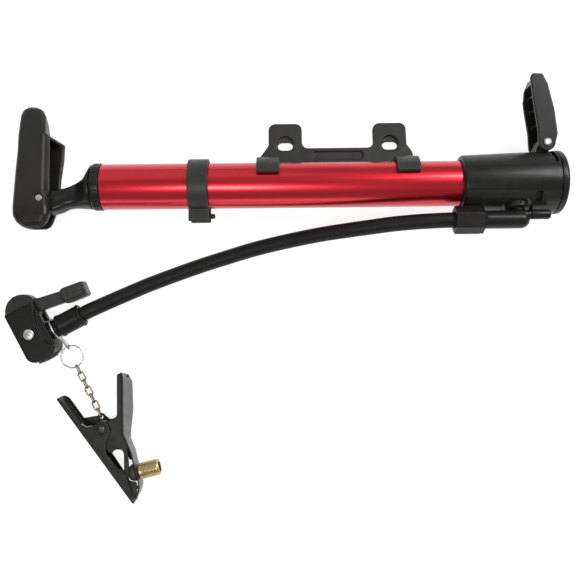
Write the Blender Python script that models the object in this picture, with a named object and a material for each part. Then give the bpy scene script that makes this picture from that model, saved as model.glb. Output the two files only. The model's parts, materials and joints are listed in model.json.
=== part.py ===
"""Mini pump for a bicycle: red tube barrel, folding handle, foot pedal, frame bracket, hose, thumb-lock
valve head, and a spring clip valve adapter on a short chain. It lies on a flat surface.

Run with: blender --background --python part.py
Shapes are made in millimetres, and the last step, to_metres, scales the whole model to metres.
+X runs from the handle to the base along the barrel, +Z is up, and z = 0 is the surface it lies on.
"""
import math

import bmesh
import bpy
from mathutils import Matrix, Vector

MM = 0.001
GAP = 0.3                      # running clearance between faceted neighbours

# Driving dimensions
LAYOUT_X, LAYOUT_Y = -1.55, -76.97   # puts the origin under the middle of the pump itself
AXIS_Y, AXIS_Z = 61.2, 18.8    # pump axis
TUBE_R, BORE_R = 13.5, 12.5    # barrel outside and inside
TUBE_LEFT, TUBE_RIGHT = -109.2, 112.2
HOUSING_LEFT, HOUSING_RIGHT = 102.5, 158.0
HOUSING_R_LEFT, HOUSING_R_RIGHT = 16.5, 18.5
END_R, END_RIGHT = 18.8, 162.5
ROD_R, ROD_BORE = 5.0, 3.4
PISTON_LEFT, PISTON_RIGHT = 84.0, 97.0
HANDLE_TURN = math.radians(-12.3)   # the handle's long end leans down onto the surface
HANDLE_PIVOT = (-143.9, -9.8)
PEDAL_PIVOT = (152.0, 22.4)
BRACKET_TILT = math.radians(-15.0)
LUG_CENTRES = (-0.75, 63.25)   # 64 mm apart, the standard bottle-boss spacing
BAND_CENTRES = (-11.0, 71.0)
HOSE_CLIP_X = -52.0
SWIVEL_X = 134.5
SWIVEL_ANGLE = math.radians(-25.0)  # turns -Y up towards +Z, to the direction the fitting points
FITTING_OUT = 25.0             # distance of the elbow's centre line from the pump axis
HOSE_R = 4.5
HEAD_AT, HEAD_ANGLE = (-160.8, -12.6), math.radians(27.0)
HEAD_MID_Z = 9.0
CLIP_AT = (-113.8, -84.5)
CHAIN_LINKS = 7
CHAIN_Z = 2.45

COLOURS = {
    "red": ((0.42, 0.035, 0.04), 0.3, 0.9),
    "black": ((0.03, 0.03, 0.03), 0.5, 0.0),
    "dark": ((0.012, 0.012, 0.012), 0.45, 0.0),
    "grey": ((0.07, 0.07, 0.068), 0.5, 0.0),
    "rubber": ((0.02, 0.02, 0.019), 0.7, 0.0),
    "seat": ((0.16, 0.09, 0.05), 0.7, 0.0),
    "steel": ((0.55, 0.54, 0.52), 0.3, 1.0),
    "nickel": ((0.09, 0.085, 0.08), 0.25, 1.0),
    "brass": ((0.55, 0.38, 0.17), 0.3, 1.0),
    "alloy": ((0.5, 0.5, 0.5), 0.35, 1.0),
}


# ---------------------------------------------------------------- helpers
def clear_scene():
    for obj in list(bpy.data.objects):
        bpy.data.objects.remove(obj, do_unlink=True)


def material(name):
    found = bpy.data.materials.get(name)
    if found:
        return found
    colour, roughness, metallic = COLOURS[name]
    found = bpy.data.materials.new(name)
    found.use_nodes = True
    shader = found.node_tree.nodes["Principled BSDF"]
    shader.inputs["Base Color"].default_value = (*colour, 1.0)
    shader.inputs["Roughness"].default_value = roughness
    shader.inputs["Metallic"].default_value = metallic
    return found


def frame(name, parent=None, at=(0, 0, 0), turn=(0, 0, 0)):
    """An empty that holds parts: a joint's axis, or a tilted group."""
    empty = bpy.data.objects.new(name, None)
    bpy.context.scene.collection.objects.link(empty)
    empty.parent = parent
    empty.location = at
    empty.rotation_euler = turn
    return empty


def finish_mesh(name, bm, colour, parent, at=(0, 0, 0)):
    """Turns a bmesh into a named object. at is its own origin inside its parent."""
    bmesh.ops.remove_doubles(bm, verts=bm.verts, dist=1e-4)
    bmesh.ops.recalc_face_normals(bm, faces=bm.faces)
    bmesh.ops.translate(bm, verts=bm.verts, vec=-Vector(at))
    mesh = bpy.data.meshes.new(name)
    bm.to_mesh(mesh)
    bm.free()
    obj = bpy.data.objects.new(name, mesh)
    bpy.context.scene.collection.objects.link(obj)
    obj.parent = parent
    obj.location = at
    mesh.materials.append(material(colour))
    mesh.shade_smooth()
    mesh.set_sharp_from_angle(angle=math.radians(35))
    return obj


def ring(bm, points):
    return [bm.verts.new(p) for p in points]


def join_rings(bm, rings, cyclic=False, caps=True):
    pairs = list(zip(rings, rings[1:] + rings[:1] if cyclic else rings[1:]))
    for a, b in pairs:
        count = max(len(a), len(b))
        for i in range(count):
            quad = [a[i % len(a)], a[(i + 1) % len(a)], b[(i + 1) % len(b)], b[i % len(b)]]
            corners = list(dict.fromkeys(quad))
            if len(corners) > 2:
                bm.faces.new(corners)
    if caps and not cyclic:
        for end in (rings[0], rings[-1]):
            if len(end) > 2:
                bm.faces.new(end)


def lathe(name, profile, colour, parent, axis="X", centre=(0, 0, 0), sides=24, at=(0, 0, 0)):
    """Turns (along, radius) points about an axis. A profile that never touches the axis closes on itself."""
    hollow = all(r > 1e-6 for _, r in profile)
    bm = bmesh.new()
    rings = []
    for along, r in profile:
        steps = sides if r > 1e-6 else 1
        points = []
        for i in range(steps):
            turn = 2 * math.pi * i / sides
            c, s = r * math.cos(turn), r * math.sin(turn)
            local = {"X": (along, c, s), "Y": (s, along, c), "Z": (c, s, along)}[axis]
            points.append(Vector(centre) + Vector(local))
        rings.append(ring(bm, points))
    join_rings(bm, rings, cyclic=hollow)
    return finish_mesh(name, bm, colour, parent, at)


def prism(name, outline, low, high, colour, parent, normal="Z", at=(0, 0, 0)):
    """Extrudes a flat outline from low to high along normal."""
    bm = bmesh.new()
    place = {"Z": lambda u, v, w: (u, v, w), "X": lambda u, v, w: (w, u, v)}[normal]
    rings = [ring(bm, [place(u, v, w) for u, v in outline]) for w in (low, high)]
    join_rings(bm, rings)
    return finish_mesh(name, bm, colour, parent, at)


def loft(name, sections, colour, parent, at=(0, 0, 0), cyclic=False):
    bm = bmesh.new()
    join_rings(bm, [ring(bm, points) for points in sections], cyclic=cyclic)
    return finish_mesh(name, bm, colour, parent, at)


def box(name, low, high, colour="black", parent=None):
    outline = [(low[0], low[1]), (high[0], low[1]), (high[0], high[1]), (low[0], high[1])]
    return prism(name, outline, low[2], high[2], colour, parent)


def triangulate(obj):
    bm = bmesh.new()
    bm.from_mesh(obj.data)
    bmesh.ops.triangulate(bm, faces=bm.faces)
    bm.to_mesh(obj.data)
    bm.free()


def combine(target, tool, operation="DIFFERENCE"):
    """Cuts target with tool, or unites them, and removes the tool."""
    triangulate(target)
    triangulate(tool)
    modifier = target.modifiers.new("combine", "BOOLEAN")
    modifier.object = tool
    modifier.operation = operation
    modifier.solver = "EXACT"
    bpy.context.view_layer.update()
    graph = bpy.context.evaluated_depsgraph_get()
    mesh = bpy.data.meshes.new_from_object(target.evaluated_get(graph))
    target.modifiers.clear()
    target.data = mesh
    bpy.data.objects.remove(tool, do_unlink=True)
    mesh.shade_smooth()
    mesh.set_sharp_from_angle(angle=math.radians(35))
    return target


def arc(cx, cy, r, start, end, steps):
    """Points on an arc, from start to end in degrees."""
    turns = [math.radians(start + (end - start) * i / steps) for i in range(steps + 1)]
    return [(cx + r * math.cos(t), cy + r * math.sin(t)) for t in turns]


def rounded_outline(x0, y0, x1, y1, r, steps=4):
    corners = ((x1 - r, y1 - r, 0), (x0 + r, y1 - r, 90), (x0 + r, y0 + r, 180), (x1 - r, y0 + r, 270))
    return [p for cx, cy, start in corners for p in arc(cx, cy, r, start, start + 90, steps)]


def torus(name, centre, major, minor, colour, parent, normal="Z", sides=24, tube=6, stretch=0.0, roll=0.0,
          heading=0.0):
    """A wire ring, or with stretch a chain link whose straight sides are that long."""
    bm = bmesh.new()
    sections = []
    turn = Matrix.Rotation(heading, 3, "Z") @ Matrix.Rotation(roll, 3, "X")
    if normal == "X":
        turn = Matrix.Rotation(math.pi / 2, 3, "Y")
    for i in range(sides):
        a = 2 * math.pi * (i + 0.5) / sides
        out = Vector((math.cos(a), math.sin(a), 0))
        shift = Vector((math.copysign(stretch / 2, out.x), 0, 0)) if stretch else Vector()
        section = []
        for k in range(tube):
            b = 2 * math.pi * k / tube
            local = out * (major + minor * math.cos(b)) + shift + Vector((0, 0, minor * math.sin(b)))
            section.append(Vector(centre) + turn @ local)
        sections.append(ring(bm, section))
    join_rings(bm, sections, cyclic=True)
    return finish_mesh(name, bm, colour, parent)


def smooth_curve(points, steps):
    """Points on a smooth line through the given ones."""
    ends = [2 * points[0] - points[1]] + points + [2 * points[-1] - points[-2]]
    out = []
    for a, b, c, d in zip(ends, ends[1:], ends[2:], ends[3:]):
        for i in range(steps):
            t = i / steps
            out.append(0.5 * (2 * b + (c - a) * t + (2 * a - 5 * b + 4 * c - d) * t ** 2
                              + (3 * b - a - 3 * c + d) * t ** 3))
    return out + [points[-1]]


def hose_tube(name, points, radius, colour, parent, resolution):
    """A round hose along a list of points, closed at both ends."""
    curve = bpy.data.curves.new(name, "CURVE")
    curve.dimensions = "3D"
    curve.bevel_depth = radius
    curve.bevel_resolution = resolution
    curve.use_fill_caps = True
    spline = curve.splines.new("POLY")
    spline.points.add(len(points) - 1)
    for target, point in zip(spline.points, points):
        target.co = (*point, 1.0)
    curve.materials.append(material(colour))
    obj = bpy.data.objects.new(name, curve)
    bpy.context.scene.collection.objects.link(obj)
    obj.parent = parent
    return obj


def bent_wire(name, points, radius, colour, parent, sides=6):
    """A thin wire as a mesh, for springs."""
    bm = bmesh.new()
    sections = []
    side = None
    for i, p in enumerate(points):
        ahead, behind = points[min(i + 1, len(points) - 1)], points[max(i - 1, 0)]
        along = (ahead - behind).normalized()
        side = along.orthogonal() if side is None else side - along * side.dot(along)
        side.normalize()
        other = along.cross(side)
        angles = [2 * math.pi * k / sides for k in range(sides)]
        sections.append(ring(bm, [p + (side * math.cos(a) + other * math.sin(a)) * radius for a in angles]))
    join_rings(bm, sections)
    return finish_mesh(name, bm, colour, parent)


def coil(radius, low, high, turns, per_turn=10):
    """Points on a helix about Z; negative turns wind clockwise."""
    count = int(abs(turns) * per_turn)
    steps = [i / count for i in range(count + 1)]
    return [Vector((radius * math.cos(2 * math.pi * turns * s), radius * math.sin(2 * math.pi * turns * s),
                    low + (high - low) * s)) for s in steps]


# ---------------------------------------------------------------- barrel group
def make_barrel(pump):
    lathe("barrel", [(TUBE_LEFT, BORE_R), (TUBE_LEFT, TUBE_R), (TUBE_RIGHT, TUBE_R), (TUBE_RIGHT, BORE_R)],
          "red", pump, sides=32)


def make_gland(pump):
    spigot = BORE_R - GAP
    face = TUBE_LEFT - GAP
    lathe("gland_cap", [(face - 5.7, 5.6), (face - 5.7, 13.2), (face - 4.9, 14.0), (face, 14.0), (face, spigot),
                        (-106, spigot), (-106, 11.0), (-104, 11.0), (-104, spigot), (-97, spigot), (-97, 7.5),
                        (-113.0, 7.5), (-113.0, 5.6)], "black", pump)
    lathe("rod_bushing", [(-112.7, 5.3), (-112.7, 7.2), (-97.5, 7.2), (-97.5, 5.3)], "grey", pump)
    torus("gland_o_ring", (-105, 0, 0), 11.75, 0.6, "rubber", pump, normal="X", sides=32, tube=6)


def housing_radius(x):
    share = (x - HOUSING_LEFT) / (HOUSING_RIGHT - HOUSING_LEFT)
    return HOUSING_R_LEFT + (HOUSING_R_RIGHT - HOUSING_R_LEFT) * share


def make_housing(pump, fitting):
    socket_r = TUBE_R + GAP
    profile = [(HOUSING_LEFT, socket_r), (HOUSING_LEFT, 15.6), (HOUSING_LEFT + 0.9, 16.5),
               (HOUSING_RIGHT, HOUSING_R_RIGHT), (HOUSING_RIGHT, 11.5), (119, 11.5), (119, 5.0),
               (TUBE_RIGHT + GAP, 5.0), (TUBE_RIGHT + GAP, socket_r)]
    housing = lathe("base_housing", profile, "black", pump, sides=32)
    px, py = PEDAL_PIVOT
    lug = [(px - 6.5, 15.5)] + [(px + 3.4, 15.5)] + arc(px, py, 3.4, 0, 160, 10)
    combine(housing, prism("lug", lug, -5.2, 5.2, "black", pump), "UNION")
    combine(housing, lathe("lug_bore", [(-8, 0), (-8, 1.8), (8, 1.8), (8, 0)], "black", pump, "Z",
                           (px, py, 0), 20))
    boss = lathe("boss", [(13.5, 0), (13.5, 6.6), (18.7, 6.6), (19.2, 6.1), (19.2, 0)], "black", fitting, "Y", sides=24)
    combine(housing, boss, "UNION")
    combine(housing, lathe("boss_bore", [(8, 0), (8, 4.4), (24, 4.4), (24, 0)], "black", fitting, "Y", sides=24))
    notch = box("notch", (154.6, 6.5, 4.0), (156.6, 21.0, 22.0), "black", pump)
    keep = lathe("notch_keep", [(150, 0), (150, 17.4), (158, 17.4), (158, 0)], "black", pump, sides=32)
    combine(notch, keep)
    combine(housing, notch)


def make_base_parts(pump):
    lathe("valve_seat", [(113.2, 2.2), (113.2, 4.7), (118.0, 4.7), (118.0, 2.2)], "rubber", pump, sides=24)
    lathe("valve_poppet", [(113.6, 0), (113.6, 1.5), (118.3, 1.5), (118.3, 4.2), (119.6, 4.2), (119.6, 1.4),
                           (122.0, 1.2), (122.0, 0)], "grey", pump, sides=20, at=(118.3, 0, 0))
    turned = [Vector((p.z, p.x, p.y)) for p in coil(2.9, 120.3, 125.2, 4)]
    bent_wire("valve_spring", turned, 0.35, "steel", pump)
    lathe("spring_retainer", [(125.8, 2.0), (125.8, 11.2), (127.4, 11.2), (127.4, 2.0)], "grey", pump)
    outer = [(HOUSING_RIGHT + GAP, END_R)] + [(END_RIGHT - 2.4 + 2.4 * math.sin(math.radians(a)),
             END_R - 2.4 + 2.4 * math.cos(math.radians(a))) for a in (0, 22, 45, 68, 90)]
    cover = [(150, 1.9), (150, 11.2), (HOUSING_RIGHT + GAP, 11.2)] + outer + [(END_RIGHT, 5.4), (END_RIGHT - 2.4, 5.4),
             (END_RIGHT - 2.4, 1.9)]
    lathe("base_end_cover", cover, "black", pump, sides=32)
    lathe("end_cover_screw", [(152, 0), (152, 1.6), (160.4, 1.6), (160.4, 4.2), (162.2, 4.2), (162.2, 0)],
          "steel", pump, sides=20)


def make_bracket(pump):
    """One moulding: a tilted plate with two slotted lugs, and two C clips that snap round the barrel."""
    near, far, inner_edge, strip_edge, lug_edge = -4.0, -8.05, 14.0, 26.0, 42.5
    left, right = BAND_CENTRES[0] - 6.75, BAND_CENTRES[1] + 6.75
    lug_a, lug_b = LUG_CENTRES
    half, r = 10.25, 4.0
    outline = [(left, inner_edge), (right, inner_edge), (right, 18.0)]
    outline += [(lug_b + half + 3, 23.5), (lug_b + half, 28.0)]
    outline += arc(lug_b + half - r, lug_edge - r, r, 0, 90, 4) + arc(lug_b - half + r, lug_edge - r, r, 90, 180, 4)
    outline += arc(lug_b - half - r, strip_edge + r, r, 0, -90, 4)
    outline += arc(lug_a + half + r, strip_edge + r, r, -90, -180, 4)
    outline += arc(lug_a + half - r, lug_edge - r, r, 0, 90, 4) + arc(lug_a - half + r, lug_edge - r, r, 90, 180, 4)
    outline += [(lug_a - half, 28.0), (lug_a - half - 3, 23.5), (left, 18.0)]
    tilt = frame("bracket_tilt", pump, turn=(BRACKET_TILT, 0, 0))
    bracket = prism("frame_bracket", outline, far, near, "black", tilt)
    for x in LUG_CENTRES:
        recess = rounded_outline(x - 5.2, 23.6, x + 5.2, 34.2, 2.0, 3)
        combine(bracket, prism("recess", recess, near - 1.8, near + 2, "black", tilt))
        slot = arc(x + 1.9, 28.3, 2.75, -90, 90, 6) + arc(x - 1.9, 28.3, 2.75, 90, 270, 6)
        combine(bracket, prism("slot", slot, far - 2, near + 2, "black", tilt))
    for x in BAND_CENTRES:
        inner, outer = TUBE_R + GAP, TUBE_R + GAP + 2.9
        band = arc(0, 0, outer, -113, 82.5, 22) + arc(0, 0, inner, 82.5, -113, 22)
        combine(bracket, prism("band", band, x - 6.75, x + 6.75, "black", tilt, normal="X"), "UNION")


def make_hose_clip(pump):
    """Split plastic band on the barrel with two jaws for the hose."""
    inner, outer, half = TUBE_R + GAP, TUBE_R + GAP + 2.1, 6.0
    open_half = 22
    ring_points = arc(0, 0, outer, 180 + open_half, 540 - open_half, 28)
    upper = [(-20.4, 7.2), (-21.4, 6.6), (-21.2, 5.4)]
    lower = [(-21.2, -5.4), (-21.4, -6.6), (-20.4, -7.2)]
    inside = arc(0, 0, inner, 540 - open_half, 180 + open_half, 28)
    outline = lower + ring_points[1:-1] + upper + inside
    prism("hose_clip", outline, HOSE_CLIP_X - half, HOSE_CLIP_X + half, "grey", pump, normal="X")


# ---------------------------------------------------------------- rod, stem and handle
def make_rod(pump):
    lathe("piston_rod", [(-115.1, ROD_BORE), (-115.1, ROD_R), (PISTON_LEFT - GAP, ROD_R), (PISTON_LEFT - GAP, ROD_BORE)],
          "alloy", pump, sides=24)
    body = BORE_R - 0.4
    lathe("piston", [(PISTON_LEFT, 3.4), (PISTON_LEFT, body - 1), (PISTON_LEFT + 1, body), (88, body), (88, 9.5),
                     (92, 9.5), (92, body), (PISTON_RIGHT, body), (PISTON_RIGHT, 3.4)], "grey", pump)
    lathe("piston_seal", [(88.3, 9.8), (88.3, 12.15), (90, 12.3), (91.7, 12.15), (91.7, 9.8)], "rubber", pump)
    lathe("piston_bolt", [(68, 0), (68, 3.0), (PISTON_RIGHT + GAP, 3.0), (PISTON_RIGHT + GAP, 5.2), (100.4, 5.2),
                          (100.4, 0)], "steel", pump, sides=20)


def stem_section(x, top, bottom, half_width, power, count=20):
    middle, half = (top + bottom) / 2, (top - bottom) / 2
    points = []
    for i in range(count):
        a = 2 * math.pi * i / count
        c, s = math.cos(a), math.sin(a)
        points.append((x, middle + half * math.copysign(abs(c) ** power, c),
                       half_width * math.copysign(abs(s) ** power, s)))
    return points


def make_stem(turned):
    """The flare on the rod's end narrows to a tongue with a round knuckle for the handle pin."""
    px, py = HANDLE_PIVOT
    sections = [stem_section(-115.5, 13.2, -13.2, 13.2, 1.0), stem_section(-116.4, 11.9, -13.1, 12.9, 0.95),
                stem_section(-117.8, 8.9, -12.9, 11.9, 0.9), stem_section(-120.6, 4.8, -12.7, 8.8, 0.8),
                stem_section(-124.7, 1.9, -12.7, 6.0, 0.7), stem_section(-129.4, -0.6, -13.2, 5.6, 0.6),
                stem_section(-133.0, -1.8, -14.9, 5.6, 0.5), stem_section(-137.5, -2.6, -16.2, 5.6, 0.45)]
    for a in (0, 25, 48, 66, 80):
        drop = 7.0 * math.sin(math.radians(a))
        half = 7.0 * math.cos(math.radians(a))
        sections.append(stem_section(px - drop, py + half, py - half, 5.6, 0.45))
    stem = loft("handle_stem", sections, "dark", turned)
    combine(stem, lathe("spigot", [(-117.5, 0), (-117.5, 3.1), (-100, 3.1), (-100, 0)], "dark", turned, sides=20), "UNION")
    combine(stem, lathe("bore", [(-9, 0), (-9, 2.3), (9, 2.3), (9, 0)], "dark", turned, "Z", (px, py, 0), 20))
    lathe("handle_pin", [(-11.0, 0), (-11.0, 2.0), (11.0, 2.0), (11.0, 0)], "steel", turned, "Z", (px, py, 0), 20)


def handle_sections():
    """(y, left x, right x on the near side, right x on the far side, half thickness, corner radius), low end first."""
    return [(-27.2, -151.5, -143.4, -145.0, 6.0, 2.5), (-26.4, -154.0, -140.8, -143.5, 8.6, 3.5),
            (-24.0, -157.0, -138.4, -142.0, 10.8, 4.0), (-20.0, -159.0, -137.0, -141.0, 11.8, 4.0),
            (-15.0, -159.4, -137.4, -139.5, 12.0, 4.0), (-5.0, -159.4, -140.0, -137.0, 11.7, 4.0),
            (8.0, -159.4, -140.8, -136.4, 11.2, 4.0), (20.0, -159.2, -141.6, -135.0, 10.7, 4.0),
            (30.4, -159.2, -142.4, -135.2, 10.3, 3.0), (32.0, -159.2, -142.6, -145.0, 10.2, 3.0),
            (43.0, -159.2, -143.2, -147.0, 9.6, 4.0), (46.6, -158.2, -145.2, -148.0, 8.9, 4.0),
            (48.6, -156.4, -148.2, -150.0, 7.2, 3.0), (49.2, -154.6, -151.2, -151.6, 4.4, 1.5)]


def handle_section(y, left, near, far, half, r, steps):
    """One closed outline across the grip. Its low end is cut shorter on the far side."""
    right, lean = (near + far) / 2, (far - near) / 2
    points = []
    for x, z in rounded_outline(left, -half, right, half, min(r, (right - left) / 2.2, half * 0.9), steps):
        short = max(0.0, -18.0 - y) / 9.2 * 3.2 * (0.5 - z / (2 * half))
        points.append((x - lean * z / half * (x - left) / (right - left), y + short, z))
    return points


def make_handle(pivot):
    px, py = HANDLE_PIVOT
    sections = [[(x - px, y - py, z) for x, y, z in handle_section(*section, 3)] for section in handle_sections()]
    grip = loft("handle_grip", sections, "dark", pivot)
    inside = 6.0
    pocket = [(-151.6 - px, -40 - py)] + [(-151.6 - px, 24.6 - py)] + arc(-147.6 - px, 24.6 - py, 4.0, 180, 90, 4)[1:]
    pocket += [(-120 - px, 28.6 - py), (-120 - px, -40 - py)]
    combine(grip, prism("pocket", pocket, -inside, inside, "dark", pivot))
    combine(grip, lathe("bore", [(-14, 0), (-14, 2.3), (14, 2.3), (14, 0)], "dark", pivot, "Z", sides=20))


# ---------------------------------------------------------------- foot pedal
def make_pedal(pump, pivot):
    """A tapered channel, open towards the barrel, on a pin through the housing's lug."""
    px, py = PEDAL_PIVOT
    half, wall = 10.0, 2.0
    side = arc(0, 0, 5.0, 180, 360, 12) + [(6.2, 5.0), (4.4, 19.0), (0.6, 34.2), (-2.4, 39.9), (-8.2, 40.2),
                                           (-9.4, 38.0), (-7.6, 22.0), (-5.4, 8.0)]
    pedal = prism("foot_pedal", side, -half, half, "dark", pivot)
    inner = [(-20, -9), (-20, 36.2), (-8.0, 36.2), (-2.2, 33.0), (2.2, 18.6), (4.0, 7.0), (3.8, 4.0), (3.8, -1.6),
             (9, -1.6), (9, -9)]
    combine(pedal, prism("hollow", inner, wall - half, half - wall, "dark", pivot))
    for y in (12.0, 21.0, 29.0):
        lean = -0.165 * y
        rib = [(lean - 0.6, y - 0.8), (lean + 5.4, y - 0.8), (lean + 5.4, y + 0.8), (lean - 0.6, y + 0.8)]
        combine(pedal, prism("rib", rib, wall - half - 0.5, half - wall + 0.5, "dark", pivot), "UNION")
    combine(pedal, lathe("bore", [(-12, 0), (-12, 1.8), (12, 1.8), (12, 0)], "dark", pivot, "Z", sides=20))
    lathe("pedal_pin", [(-10.4, 0), (-10.4, 1.5), (10.3, 1.5), (10.3, 2.2), (11.2, 2.2), (11.2, 0)],
          "steel", pump, "Z", (px, py, 0), 20)


# ---------------------------------------------------------------- hose fitting
def make_fitting(fitting):
    """In the fitting's frame +Y points away from the pump axis through the boss, and X is along the pump."""
    r = 5.3
    nose = [(6.4 - r + r * math.sin(math.radians(a)), r * math.cos(math.radians(a))) for a in (0, 30, 55, 75)]
    elbow = lathe("swivel_elbow", [(-20.2, 0), (-20.2, r)] + nose + [(6.4, 0)], "dark", fitting,
                  centre=(0, FITTING_OUT, 0), sides=20)
    stub = [(7.6, 0), (7.6, 3.9), (8.6, 3.9), (8.6, 3.0), (9.6, 3.0), (9.6, 4.0), (14.0, 4.0), (14.0, 3.3), (15.4, 3.3),
            (15.4, 4.0), (FITTING_OUT - 2, 4.0), (FITTING_OUT - 2, 0)]
    combine(elbow, lathe("stub", stub, "dark", fitting, "Y", sides=20), "UNION")
    lathe("swivel_washer", [(8.8, 3.3), (8.8, 6.3), (9.4, 6.3), (9.4, 3.3)], "steel", fitting, "Y", sides=20)
    lathe("swivel_o_ring", [(14.3, 3.5), (14.3, 4.1), (15.1, 4.1), (15.1, 3.5)], "rubber", fitting, "Y", sides=20)
    plug_y, plug_z = FITTING_OUT - 1.8, -2.4
    lathe("elbow_plug", [(6.7, 0), (6.7, 2.9), (17.0, 2.9), (18.0, 2.0), (18.0, 0)], "dark", fitting,
          centre=(0, plug_y, plug_z), sides=20)


def make_nut(fitting):
    """Six-sided hose nut with a flat towards the barrel; the barb inside it meets the hose."""
    across, bore = 14.6, 4.85
    corner = across / math.sqrt(3)
    flats = [(corner * math.cos(math.radians(a)), corner * math.sin(math.radians(a))) for a in range(0, 360, 60)]
    nut = prism("hose_nut", [(FITTING_OUT + y, z) for z, y in flats], -37.4, -20.6, "grey", fitting, normal="X")
    trim = [(-38, 0), (-38, 7.1), (-36.6, 8.6), (-20.0, 8.6), (-20.0, 0)]
    combine(nut, lathe("trim", trim, "grey", fitting, centre=(0, FITTING_OUT, 0), sides=30), "INTERSECT")
    combine(nut, lathe("bore", [(-50, 0), (-50, bore), (-10, bore), (-10, 0)], "grey", fitting,
                       centre=(0, FITTING_OUT, 0), sides=24))
    lathe("hose_barb", [(-28.6, 1.6), (-28.6, 4.3), (-21.0, 4.3), (-21.0, 1.6)], "brass", fitting,
          centre=(0, FITTING_OUT, 0), sides=20)


def hose_route():
    """The hose's centre line, from inside the nut to inside the head's collar."""
    start = fitting_point(-29.0)
    second = fitting_point(-36.0)
    middle = [(88.0, 38.3, 29.2), (76.0, 37.8, 28.2), (63.0, 36.9, 26.3), (50.0, 35.5, 23.6), (36.0, 33.9, 20.0),
              (22.0, 32.2, 16.2), (8.0, 29.9, 12.6), (-7.0, 27.0, 9.4), (-22.0, 23.5, 7.0), (-38.0, 18.9, 5.4),
              (-54.0, 14.0, 4.8), (-70.0, 8.5, 4.7), (-85.0, 3.0, 5.1), (-98.0, -2.4, 6.2), (-110.0, -7.6, 7.7)]
    last = [head_point(35.0), head_point(27.0), head_point(20.3)]
    return [Vector(start), Vector(second)] + [Vector(p) for p in middle] + [Vector(p) for p in last]


def fitting_point(x):
    out = (math.cos(SWIVEL_ANGLE), -math.sin(SWIVEL_ANGLE))
    return (SWIVEL_X + x, AXIS_Y - FITTING_OUT * out[0], AXIS_Z + FITTING_OUT * out[1])


COLLAR_Y = -18.0


def head_point(x, y=COLLAR_Y):
    c, s = math.cos(HEAD_ANGLE), math.sin(HEAD_ANGLE)
    return (HEAD_AT[0] + x * c - y * s, HEAD_AT[1] + x * s + y * c, HEAD_MID_Z)


# ---------------------------------------------------------------- valve head
def make_head(head):
    """In the head's frame X runs along the hose, -Y towards the valve mouth, and z = 0 is its middle plane."""
    low, high = -8.9, 8.9
    outline = [(9.5, 2.6), (-9.5, 2.6)] + arc(-3.5, -26.0, 6.0, 180, 270, 5) + arc(3.5, -26.0, 6.0, 270, 360, 5)
    body = prism("head_body", outline, low, high, "grey", head)
    slot = [(-20, 10), (-20, -11.3), (20, -11.3), (20, 10)]
    combine(body, prism("slot", slot, -4.1, 4.1, "grey", head))
    neck = lathe("neck", [(8, 0), (8, 5.6), (14.2, 5.6), (14.2, 4.4), (17.4, 4.4), (17.4, 0)], "grey", head,
                 centre=(0, COLLAR_Y, 0), sides=24)
    combine(body, neck, "UNION")
    combine(body, lathe("air_way", [(2, 0), (2, 1.8), (25, 1.8), (25, 0)], "grey", head,
                        centre=(0, COLLAR_Y, 0), sides=16))
    mouth = [(-40, 0), (-40, 6.7), (-28.6, 6.7), (-28.6, 5.6), (-22.0, 5.6), (-22.0, 4.6), (-15.0, 4.6), (-15.0, 2.5),
             (-9.1, 2.5), (-9.1, 0)]
    combine(body, lathe("mouth", mouth, "grey", head, "Y", sides=24))
    combine(body, lathe("pin_bore", [(-7.4, 0), (-7.4, 1.9), (7.4, 1.9), (7.4, 0)], "grey", head, "Z", (0, 0, 0), 16))
    screw_x, screw_y = -1.7, -14.6
    sink = [(5.2, 0), (5.2, 1.3), (7.2, 1.3), (7.2, 3.6), (12, 3.6), (12, 0)]
    combine(body, lathe("sink", sink, "grey", head, "Z", (screw_x, screw_y, 0), 20))
    lathe("head_screw", [(5.5, 0), (5.5, 1.0), (7.5, 1.0), (7.5, 3.3), (8.5, 3.3), (8.8, 2.8), (8.8, 0)], "steel", head,
          "Z", (screw_x, screw_y, 0), 20)
    lathe("valve_collar", [(-33.0, 4.3), (-33.0, 5.9), (-32.4, 6.4), (-29.0, 6.4), (-29.0, 4.3)], "grey", head, "Y",
          sides=24)
    lathe("valve_grommet", [(-28.3, 3.75), (-28.3, 5.3), (-22.3, 5.3), (-22.3, 3.75)], "seat", head, "Y")
    lathe("head_collar", [(14.6, 4.75), (14.6, 6.6), (15.2, 7.0), (29.6, 7.0), (30.6, 6.2), (30.6, 4.85), (18.0, 4.85)],
          "grey", head, centre=(0, COLLAR_Y, 0), sides=24)
    lathe("lever_pin", [(-7.0, 0), (-7.0, 1.6), (7.0, 1.6), (7.0, 0)], "steel", head, "Z", sides=16)


def make_plunger(head):
    lathe("head_plunger", [(-20.4, 0), (-20.4, 4.2), (-15.4, 4.2), (-15.4, 2.1), (-10.9, 2.1), (-10.9, 0)], "grey",
          head, "Y", sides=20)


def make_lever(lever):
    """Round cam between the head's cheeks, a flat arm beside the hose, and a thumb paddle at its end."""
    half = 3.8
    lean = math.radians(-7.5)
    cam = arc(0, 0, 10.4, 0, 345, 23)
    piece = prism("head_lever", cam, -half, half, "dark", lever)
    turn = Matrix.Rotation(lean, 2)
    arm = [turn @ Vector(p) for p in ((4.0, -3.4), (27.0, -3.6), (27.0, 3.8), (12.5, 4.4), (4.0, 6.5))]
    combine(piece, prism("arm", arm, -half, half, "dark", lever), "UNION")
    corners = rounded_outline(25.4, -5.0, 42.4, 5.0, 2.6, 3)
    paddle = [turn @ Vector(p) for p in corners]
    combine(piece, prism("paddle", paddle, -half + 0.5, half + 2.2, "dark", lever), "UNION")
    combine(piece, lathe("bore", [(-12, 0), (-12, 1.9), (12, 1.9), (12, 0)], "dark", lever, "Z", sides=16))


# ---------------------------------------------------------------- tether
EYE_AT = (-30.85, -6.5)        # y and z of the eye's centre in the head's frame
RING_AT = (11.2, -37.6)
RING_R, RING_WIRE = 6.8, 0.6


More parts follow.
